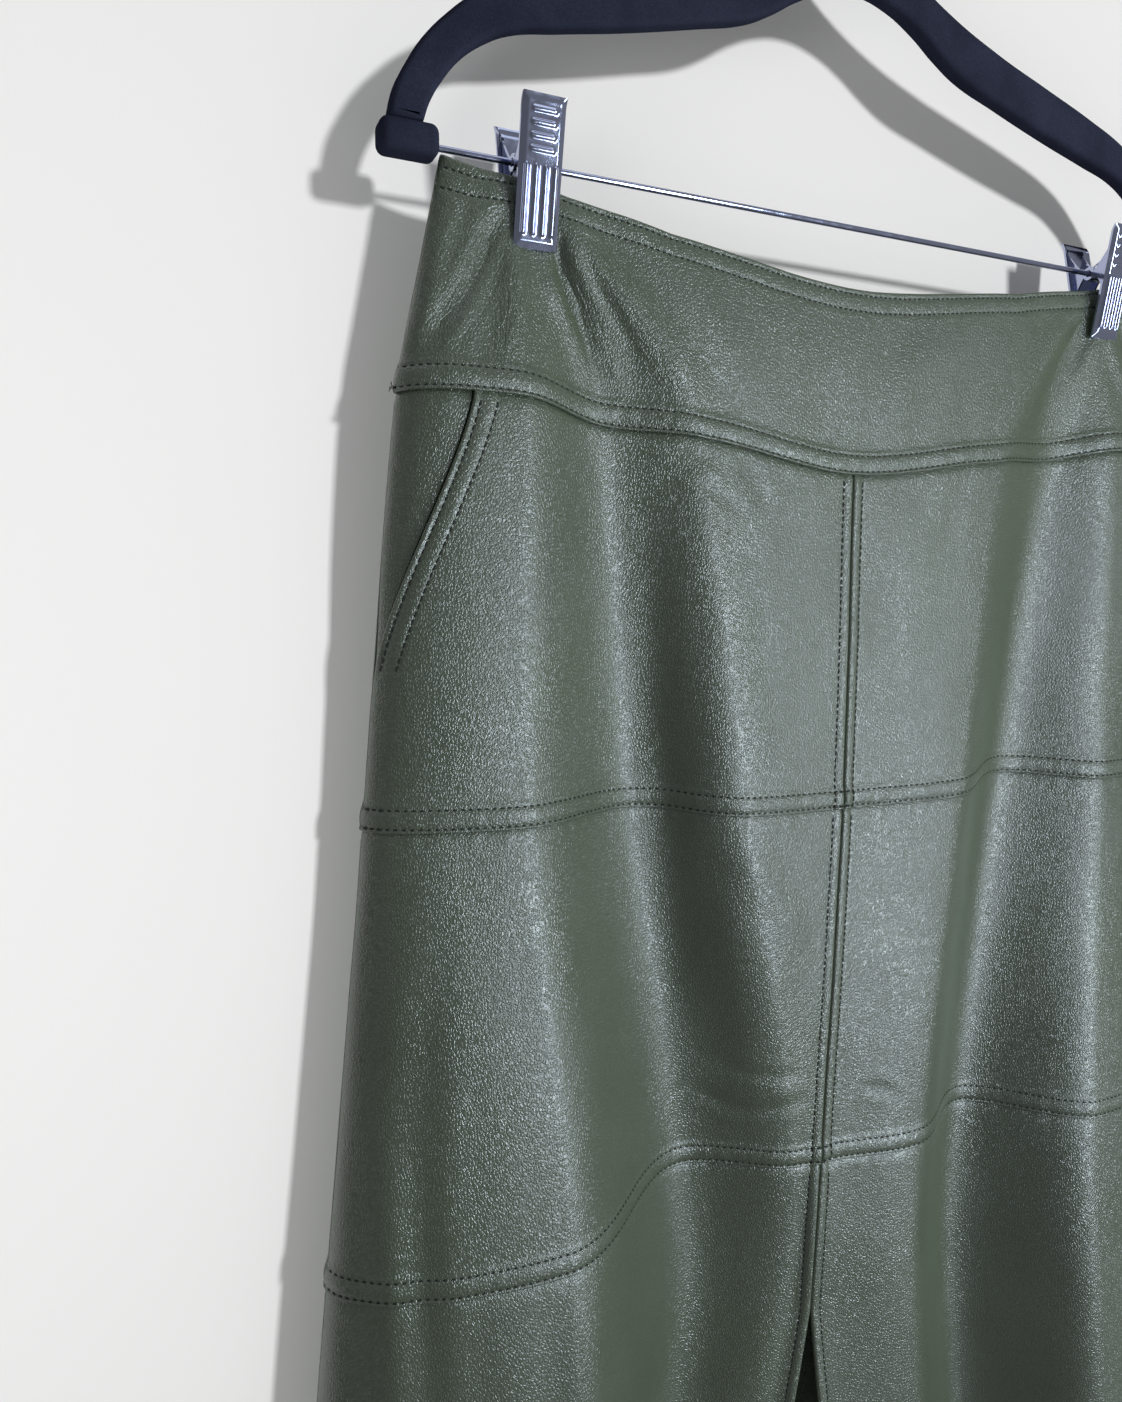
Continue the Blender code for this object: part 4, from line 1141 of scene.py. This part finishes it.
def ring_along_x(bm, centre, bore, outer, width):
    """A ring round an axis along X, spun from its section, with its outer corners taken off."""
    corner, segments = 0.2, 28
    section = [(-width / 2, bore), (width / 2, bore), (width / 2, outer - corner),
               (width / 2 - corner, outer), (-width / 2 + corner, outer), (-width / 2, outer - corner)]
    verts = [bm.verts.new(((centre[0] + x) * MM, centre[1] * MM, (centre[2] + r) * MM))
             for x, r in section]
    edges = [bm.edges.new((a, b)) for a, b in zip(verts, verts[1:] + verts[:1])]
    bmesh.ops.spin(bm, geom=verts + edges, cent=Vector(centre) * MM, axis=(1, 0, 0),
                   angle=2 * math.pi, steps=segments, use_merge=True)


SLIDER_FACE = 8.3      # how far behind the middle the slider's outer face lies
PIN_PLACE = (0.0, 10.6, -222.0)


def make_zip():
    """The concealed zip's slider with its pin, and the pull tab that hangs from the pin."""
    bm = bmesh.new()
    x, y, z = PIN_PLACE
    # the slider's body, the nose under the pin and the two lugs that hold the pin
    soft_box(bm, (x, SLIDER_FACE - 1.3, z), (5.4, 2.6, 9.0), 0.7)
    soft_box(bm, (x, SLIDER_FACE - 0.1, z - 2.9), (3.6, 0.8, 2.2), 0.35)
    for side in (-1, 1):
        soft_box(bm, (x + side * 2.0, SLIDER_FACE + 1.4, z), (0.8, 4.8, 2.6), 0.25)
    rod_along_x(bm, PIN_PLACE, 0.7, 4.6, 20)
    bmesh.ops.recalc_face_normals(bm, faces=bm.faces)
    finish_piece("zip_slider_body", bm, ("enamel",), replaces=("zip_slider",),
                 angle=40)
    tab = [(-1.15, z - 2.2), (1.15, z - 2.2), (1.35, z - 4.6), (2.2, z - 8.0), (2.15, z - 21.0),
           (1.3, z - 24.5), (0.0, z - 24.8), (-1.3, z - 24.5), (-2.15, z - 21.0), (-2.2, z - 8.0),
           (-1.35, z - 4.6)]
    hole = [(1.0 * math.cos(a), z - 20.6 + 1.9 * math.sin(a))
            for a in np.linspace(0, 2 * math.pi, 9)[:-1]]
    mesh = outline_mesh("zip_pull_tab", ((tab, (0, 1)), (hole, ())), 1.1, 0.3, 2)
    bm = bmesh.new()
    bm.from_mesh(mesh)
    bmesh.ops.translate(bm, vec=(0, y * MM, 0), verts=bm.verts)
    ring_along_x(bm, PIN_PLACE, 1.05, 1.9, 2.6)
    bmesh.ops.recalc_face_normals(bm, faces=bm.faces)
    finish_piece("zip_pull_tab", bm, ("enamel",), body=PULL_BODY, replaces=("zip_pull",),
                 angle=40)


# ---- the hanger -----------------------------------------------------------------------------
BAR_Z = -190.5
BAR_RADIUS = 1.25
BAR_LENGTH = 381.0
ARM_OUTLINE = (     # (x, z) along the left half's lower edge to the cap, and back above
    (0, -93), (-17, -96), (-31.3, -102.5), (-44.3, -110.7), (-57.5, -117.5), (-80.5, -124.2),
    (-114.4, -133.2), (-141.7, -139.6), (-161.6, -144.6), (-172.3, -150.2), (-181.6, -157.8),
    (-188.2, -166.3), (-193.8, -176), (-196.4, -183.6), (-209.6, -183.6), (-207, -173),
    (-202.6, -164), (-196.6, -154.5), (-187.4, -144.2), (-178, -136), (-163, -127.5),
    (-140, -119.5), (-110, -111), (-78, -102), (-48, -91), (-26, -79.5), (-12, -69.5), (-8, -66),
)
ARM_CORNERS = (13, 14, 27)      # the outline's sharp points
ARM_THICK = 8.0
ARM_ROUND = 2.4
CAP_ROUND = 3.4
CAP_SIZE = (22.0, 12.0, 11.6)
CAP_CENTRE = (201.8, 0.0, -189.7)


def make_arm_and_caps():
    """The moulded arm, its right half the mirror of its left one, and a cap at each end."""
    left = list(ARM_OUTLINE)
    right = [(-x, z) for x, z in left[:0:-1]]
    count = len(left) + len(right)
    corners = set(ARM_CORNERS) | {count - corner for corner in ARM_CORNERS}
    mesh = outline_mesh("hanger_arm_flocked", ((left + right, corners),), ARM_THICK, ARM_ROUND, 5)
    place_piece("hanger_arm_flocked", mesh, ("flock",), replaces=("hanger_arm",),
                angle=50)
    for half, side in HALVES:
        bm = bmesh.new()
        centre = (half * CAP_CENTRE[0], CAP_CENTRE[1], CAP_CENTRE[2])
        soft_box(bm, centre, CAP_SIZE, CAP_ROUND, 6)
        finish_piece("hanger_cap_%s_flocked" % side, bm, ("flock",),
                     replaces=("hanger_cap_" + side,), angle=60)


def make_bar_and_hook():
    """The bar between the caps; the hook rises from the neck, turns aside and bends over."""
    bm = bmesh.new()
    rod_along_x(bm, (0, 0, BAR_Z), BAR_RADIUS, BAR_LENGTH, 32)
    finish_piece("hanger_bar_chrome", bm, ("chrome",), replaces=("hanger_bar",),
                 angle=40)
    wire, inside, neck_top = 1.8, 20.0, -66.0
    radius = inside + wire
    middle = wire - radius
    start, tip = math.radians(-60), math.radians(205)
    stem = middle + 2 * radius * math.sin(start)
    route = [(0.0, 0.0, z) for z in np.linspace(neck_top + 0.3, stem, 6)]
    for turn in np.linspace(0, -start, 12)[1:]:
        route.append((radius - radius * math.cos(turn), 0.0, stem + radius * math.sin(turn)))
    for angle in np.linspace(start, tip, 60)[1:]:
        route.append((radius * math.cos(angle), 0.0, middle + radius * math.sin(angle)))
    place_piece("hanger_hook_chrome", bent_wire("hanger_hook_chrome", route, wire, 6), ("chrome",),
                replaces=("hanger_hook",), angle=50)


# ---- the clips ------------------------------------------------------------------------------
CLIP_X = 154.2
CLIP_SIZE = (17.5, 51.0)       # width and height of a jaw
CLIP_TOP = -171.5
JAW_OUTER = (16.0, 6.0)        # how far a jaw's outer face lies from the middle, top and bottom
JAW_THICK = 1.1
FRAME_WIDTHS = (2.3, 2.4)      # the bevelled frame at the sides, and at the top and bottom
FRAME_FALL = 1.25
RIB_HEIGHT = 0.75
# Ribs pressed into a jaw, as lines in millimetres from the middle of its top edge, and their radius.
LEVEL_RIBS = [((-4.2, 5.2 + 4.3 * k), (4.0, 5.2 + 4.3 * k), 1.5) for k in range(4)]
UPRIGHT_RIBS = [((-5.78 + 3.85 * k, 23.8), (-5.78 + 3.85 * k, 46.0), 1.4) for k in range(4)]
CLIP_CELL = 0.32               # size of a jaw's faces
EYELET = (1.6, 3.3)            # inner and outer radius of the eyelets on the bar
FLANGE_THICK = 0.9
FLANGE_SWEEP = 16.0            # the turned edge widens this far above and below the bar


def jaw_relief(u, v):
    """How far a jaw's bevelled frame falls and its ribs stand out, u across and v down from its
    top."""
    width, height = CLIP_SIZE
    share = np.minimum((width / 2 - np.abs(u)) / FRAME_WIDTHS[0],
                       np.minimum(v, height - v) / FRAME_WIDTHS[1])
    frame_fall = -FRAME_FALL * (1 - np.clip(share, 0, 1))
    ribs = np.zeros(frame_fall.shape)
    for start, end, radius in LEVEL_RIBS + UPRIGHT_RIBS:
        start, end = np.array(start), np.array(end)
        line = end - start
        t = np.clip(((u - start[0]) * line[0] + (v - start[1]) * line[1]) / (line @ line), 0, 1)
        gap = np.hypot(u - start[0] - t * line[0], v - start[1] - t * line[1]) / radius
        ribs = np.maximum(ribs, RIB_HEIGHT * np.clip(1 - gap ** 2, 0, 1) ** 2)
    return frame_fall, ribs


def add_jaw(bm, x, facing):
    """A jaw's pressed plate, leaning in to the waist; facing is -1 for the front one."""
    width, height = CLIP_SIZE
    u = np.linspace(-width / 2, width / 2, round(width / CLIP_CELL) + 1)[None, :]
    v = np.linspace(0, height, round(height / CLIP_CELL) + 1)[:, None]
    frame_fall, ribs = jaw_relief(u, v)
    lean = JAW_OUTER[0] + (JAW_OUTER[1] - JAW_OUTER[0]) * v / height
    lip = 1.2 * np.clip(1 - v / 3.5, 0, 1) ** 2        # the top edge curls outwards
    plate = lean + lip + frame_fall
    for depth, hidden in ((plate + ribs, False), (plate - JAW_THICK, True)):
        points = np.stack(np.broadcast_arrays(x + u, facing * depth, CLIP_TOP - v), -1)
        if hidden:
            points = points[np.ix_(thinned(v.size), thinned(u.size))]
        add_sheet(bm, points)
    bmesh.ops.bridge_loops(bm, edges=[edge for edge in bm.edges if edge.is_boundary])


def add_flange(bm, x, facing):
    """The plate's edge turned in towards the bar: its free edge sweeps up to the eyelet."""
    top, low, steps = 2.5, 33.0, 41     # where the turned edge starts and ends down the plate
    v = np.linspace(top, low, steps)[:, None]
    plate = JAW_OUTER[0] + (JAW_OUTER[1] - JAW_OUTER[0]) * v / CLIP_SIZE[1] - JAW_THICK / 2
    nearness = 1 - np.clip(np.abs(v - (CLIP_TOP - BAR_Z)) / FLANGE_SWEEP, 0, 1)
    narrow = plate - 0.5                # the free edge far from the bar
    free = narrow - (narrow - EYELET[1] + 0.6) * nearness ** 1.7
    for edge in (-FLANGE_THICK / 2, FLANGE_THICK / 2):
        depth = plate + (free - plate) * np.linspace(0, 1, 5)[None, :]
        points = np.stack(np.broadcast_arrays(x + edge, facing * depth, CLIP_TOP - v), -1)
        add_sheet(bm, points)
    bmesh.ops.bridge_loops(bm, edges=[edge for edge in bm.edges if edge.is_boundary])


def make_clips():
    """Both clips' jaws with their eyelets and turned edges; the back jaw is set in between."""
    for half, side in HALVES:
        x = half * CLIP_X
        bm = bmesh.new()
        for facing, inset in ((-1, 0.0), (1, 1.2)):
            add_jaw(bm, x, facing)
            for edge in (-1, 1):
                ear_x = x + edge * (CLIP_SIZE[0] / 2 - 1.9 - inset)
                ring_along_x(bm, (ear_x, 0, BAR_Z), *EYELET, FLANGE_THICK)
                add_flange(bm, ear_x, facing)
        bmesh.ops.recalc_face_normals(bm, faces=bm.faces)
        nodes = ["clip_%s_%s" % (side, part) for part in ("front", "back")]
        finish_piece("clip_%s_jaws" % side, bm, ("chrome",), replaces=nodes,
                     angle=30)
        make_spring(x, side)


def make_spring(x, side):
    """The coil round the bar, and its two legs that press the jaws together."""
    wire, coil, turns, length = 0.6, 2.75, 8, 9.6
    steps = 18      # points in each turn
    route = [(x - length / 2, -11.2, BAR_Z + 9.0), (x - length / 2, -7.0, BAR_Z + 5.6)]
    for k in range(turns * steps + 1):
        angle = math.pi / 2 + 2 * math.pi * k / steps
        route.append((x - length / 2 + length * k / (turns * steps), coil * math.cos(angle),
                      BAR_Z + coil * math.sin(angle)))
    route += [(x + length / 2, 7.0, BAR_Z + 5.6), (x + length / 2, 11.2, BAR_Z + 9.0)]
    name = "clip_%s_coil" % side
    place_piece(name, bent_wire(name, route, wire, 2), ("chrome",),
                replaces=("clip_%s_spring" % side,), angle=60)


# ---- stage, light and camera ----------------------------------------------------------------
WALL_Y = 0.0385
FLOOR_Z = -1.25
CAMERA_PLACE = (-0.306, -0.370, -0.359)
CAMERA_YAW, CAMERA_PITCH = 24.0, -5.0
CAMERA_LENS = 26.0
AIM = Vector((-0.08, 0.0, -0.45))
# name, place, width and height, watts, colour, whether it falls on the wall or on the rest, and
# which kind of light it gives
LIGHTS = (
    ("wall_lamp", (0.56, -1.90, 0.06), (0.15, 0.15), 27.0, "ffffff", "INCLUDE", "both"),
    ("wall_glow", (-0.78, -0.50, -0.46), (0.4, 0.4), 1.8, "ffffff", "INCLUDE", "both"),
    ("soft_key", (1.05, -0.96, -0.20), (0.5, 0.9), 13.5, "fdfffb", "EXCLUDE", "diffuse"),
    ("tall_window", (0.39, -0.88, -0.565), (0.17, 0.89), 5.8, "e6f3ff", "EXCLUDE", "glossy"),
    ("low_pane", (0.39, -0.88, -0.80), (0.17, 0.28), 2.0, "e6f3ff", "EXCLUDE", "glossy"),
    ("high_pane", (0.39, -0.88, -0.23), (0.17, 0.20), 1.2, "e6f3ff", "EXCLUDE", "glossy"),
    ("ceiling", (-0.15, -0.28, 0.62), (1.0, 0.5), 1.5, "eef6ff", "EXCLUDE", "glossy"),
    ("side_fill", (-1.75, -0.75, -0.1), (0.3, 0.8), 0.6, "f4f8ff", "EXCLUDE", "both"),
    ("behind", (-0.7, 1.7, 0.5), (1.2, 1.2), 8.0, "f4f5f8", "EXCLUDE", "both"),
)


def add_plane(name, size, matrix, material):
    bm = bmesh.new()
    bmesh.ops.create_grid(bm, x_segments=1, y_segments=1, size=size, matrix=matrix)
    mesh = bpy.data.meshes.new(name)
    bm.to_mesh(mesh)
    bm.free()
    mesh.materials.append(MATERIALS[material]())
    plane = bpy.data.objects.new(name, mesh)
    bpy.context.scene.collection.objects.link(plane)
    return plane


def make_stage():
    """The wall, the floor, the lights, a room a little brighter to the right and above, and the
    camera."""
    turn = Matrix.Rotation(math.pi / 2, 4, "X")
    wall = add_plane("wall", 3.0, Matrix.Translation((0, WALL_Y, FLOOR_Z + 3.0)) @ turn, "wall")
    wall.visible_shadow = False
    wall.visible_diffuse = False
    floor = add_plane("floor", 4.0, Matrix.Translation((0, 0, FLOOR_Z)), "floor")
    floor.visible_glossy = False
    for name, place, size, watts, colour, wall_link, kind in LIGHTS:
        light = bpy.data.lights.new(name, "AREA")
        light.shape = "RECTANGLE"
        light.size, light.size_y = size
        light.energy = watts
        light.color = linear(colour)
        lamp = bpy.data.objects.new(name, light)
        bpy.context.scene.collection.objects.link(lamp)
        lamp.location = place
        lamp.visible_glossy = kind != "diffuse"
        lamp.visible_diffuse = kind != "glossy"
        lamp.rotation_euler = (AIM - Vector(place)).to_track_quat("-Z", "Y").to_euler()
        linked = bpy.data.collections.new(name)
        for backdrop in (wall, floor):
            linked.objects.link(backdrop)
        for entry in linked.collection_objects:
            entry.light_linking.link_state = wall_link
        lamp.light_linking.receiver_collection = linked
    world = bpy.data.worlds.new("room")
    bpy.context.scene.world = world
    world.use_nodes = True
    world.node_tree.nodes.clear()
    where = add_node(world, "ShaderNodeTexCoord")
    towards = add_node(world, "ShaderNodeVectorMath",
                       {0: where.outputs["Generated"], 1: (0.45, 0.0, 0.20)},
                       operation="DOT_PRODUCT")
    share = add_node(world, "ShaderNodeMath", {0: towards.outputs["Value"], 1: 0.5}, operation="ADD")
    band = add_node(world, "ShaderNodeValToRGB", {0: share.outputs[0]})
    ramp = band.color_ramp.elements
    ramp[0].position, ramp[0].color = 0.1, (*linear("656666"), 1)
    ramp[1].position, ramp[1].color = 0.9, (*linear("8f9091"), 1)
    light = add_node(world, "ShaderNodeBackground", {"Color": band.outputs[0], "Strength": 1.0})
    add_node(world, "ShaderNodeOutputWorld", {"Surface": light.outputs[0]})
    camera = bpy.data.cameras.new("camera")
    camera.lens = CAMERA_LENS
    camera.clip_start = 0.01
    holder = bpy.data.objects.new("camera", camera)
    bpy.context.scene.collection.objects.link(holder)
    holder.location = CAMERA_PLACE
    holder.rotation_euler = (math.radians(90 + CAMERA_PITCH), 0, -math.radians(CAMERA_YAW))
    bpy.context.scene.camera = holder
    bpy.context.scene.view_settings.view_transform = "Standard"


# ---- operators and panel --------------------------------------------------------------------
class SKIRT_OT_front(bpy.types.Operator):
    """Make the front yoke, the pockets and the front tiers"""
    bl_idname = "skirt.front"
    bl_label = "Front"

    def execute(self, context):
        make_front_yoke()
        for half, side in HALVES:
            make_pocket_tier(half, side)
            make_front_tiers(half, side)
        return {"FINISHED"}


class SKIRT_OT_back(bpy.types.Operator):
    """Make the back yoke and the back tiers"""
    bl_idname = "skirt.back"
    bl_label = "Back"

    def execute(self, context):
        make_back()
        return {"FINISHED"}


class SKIRT_OT_stitches(bpy.types.Operator):
    """Sew every row of stitching on the leather"""
    bl_idname = "skirt.stitches"
    bl_label = "Stitches"

    def execute(self, context):
        make_stitches()
        make_thread_ends()
        return {"FINISHED"}


class SKIRT_OT_zip(bpy.types.Operator):
    """Make the zip's slider and pull tab"""
    bl_idname = "skirt.zip"
    bl_label = "Zip"

    def execute(self, context):
        make_zip()
        return {"FINISHED"}


class SKIRT_OT_hanger(bpy.types.Operator):
    """Make the hanger's flocked arm and caps, its bar and its hook"""
    bl_idname = "skirt.hanger"
    bl_label = "Hanger"

    def execute(self, context):
        make_arm_and_caps()
        make_bar_and_hook()
        return {"FINISHED"}


class SKIRT_OT_clips(bpy.types.Operator):
    """Make the two clips with their springs"""
    bl_idname = "skirt.clips"
    bl_label = "Clips"

    def execute(self, context):
        make_clips()
        return {"FINISHED"}


class SKIRT_OT_stage(bpy.types.Operator):
    """Set up the wall, the floor, the light and the camera"""
    bl_idname = "skirt.stage"
    bl_label = "Stage"

    def execute(self, context):
        make_stage()
        return {"FINISHED"}


STEPS = (SKIRT_OT_clips, SKIRT_OT_hanger, SKIRT_OT_front, SKIRT_OT_back, SKIRT_OT_stitches,
         SKIRT_OT_zip, SKIRT_OT_stage)
SETTINGS = {"skirt_leather": LeatherSettings, "skirt_sewing": SewingSettings,
            "skirt_hanger": HangerSettings}


class VIEW3D_PT_skirt(bpy.types.Panel):
    """The skirt's colours and sizes, and a button for each of its parts"""
    bl_idname = "VIEW3D_PT_skirt"
    bl_label = "Skirt"
    bl_space_type = "VIEW_3D"
    bl_region_type = "UI"
    bl_category = "Skirt"

    def draw(self, context):
        for name, group in SETTINGS.items():
            for prop in group.__annotations__:
                self.layout.prop(getattr(context.scene, name), prop)
        for step in STEPS:
            self.layout.operator(step.bl_idname)


def register():
    for made in (*SETTINGS.values(), *STEPS, VIEW3D_PT_skirt):
        bpy.utils.register_class(made)
    for name, group in SETTINGS.items():
        setattr(bpy.types.Scene, name, PointerProperty(type=group))


def unregister():
    for name in SETTINGS:
        delattr(bpy.types.Scene, name)
    for made in (VIEW3D_PT_skirt, *reversed(STEPS), *reversed(list(SETTINGS.values()))):
        bpy.utils.unregister_class(made)


def main():
    register()
    for step in STEPS:
        getattr(bpy.ops.skirt, step.bl_idname.split(".")[1])()


if __name__ == "__main__":
    main()
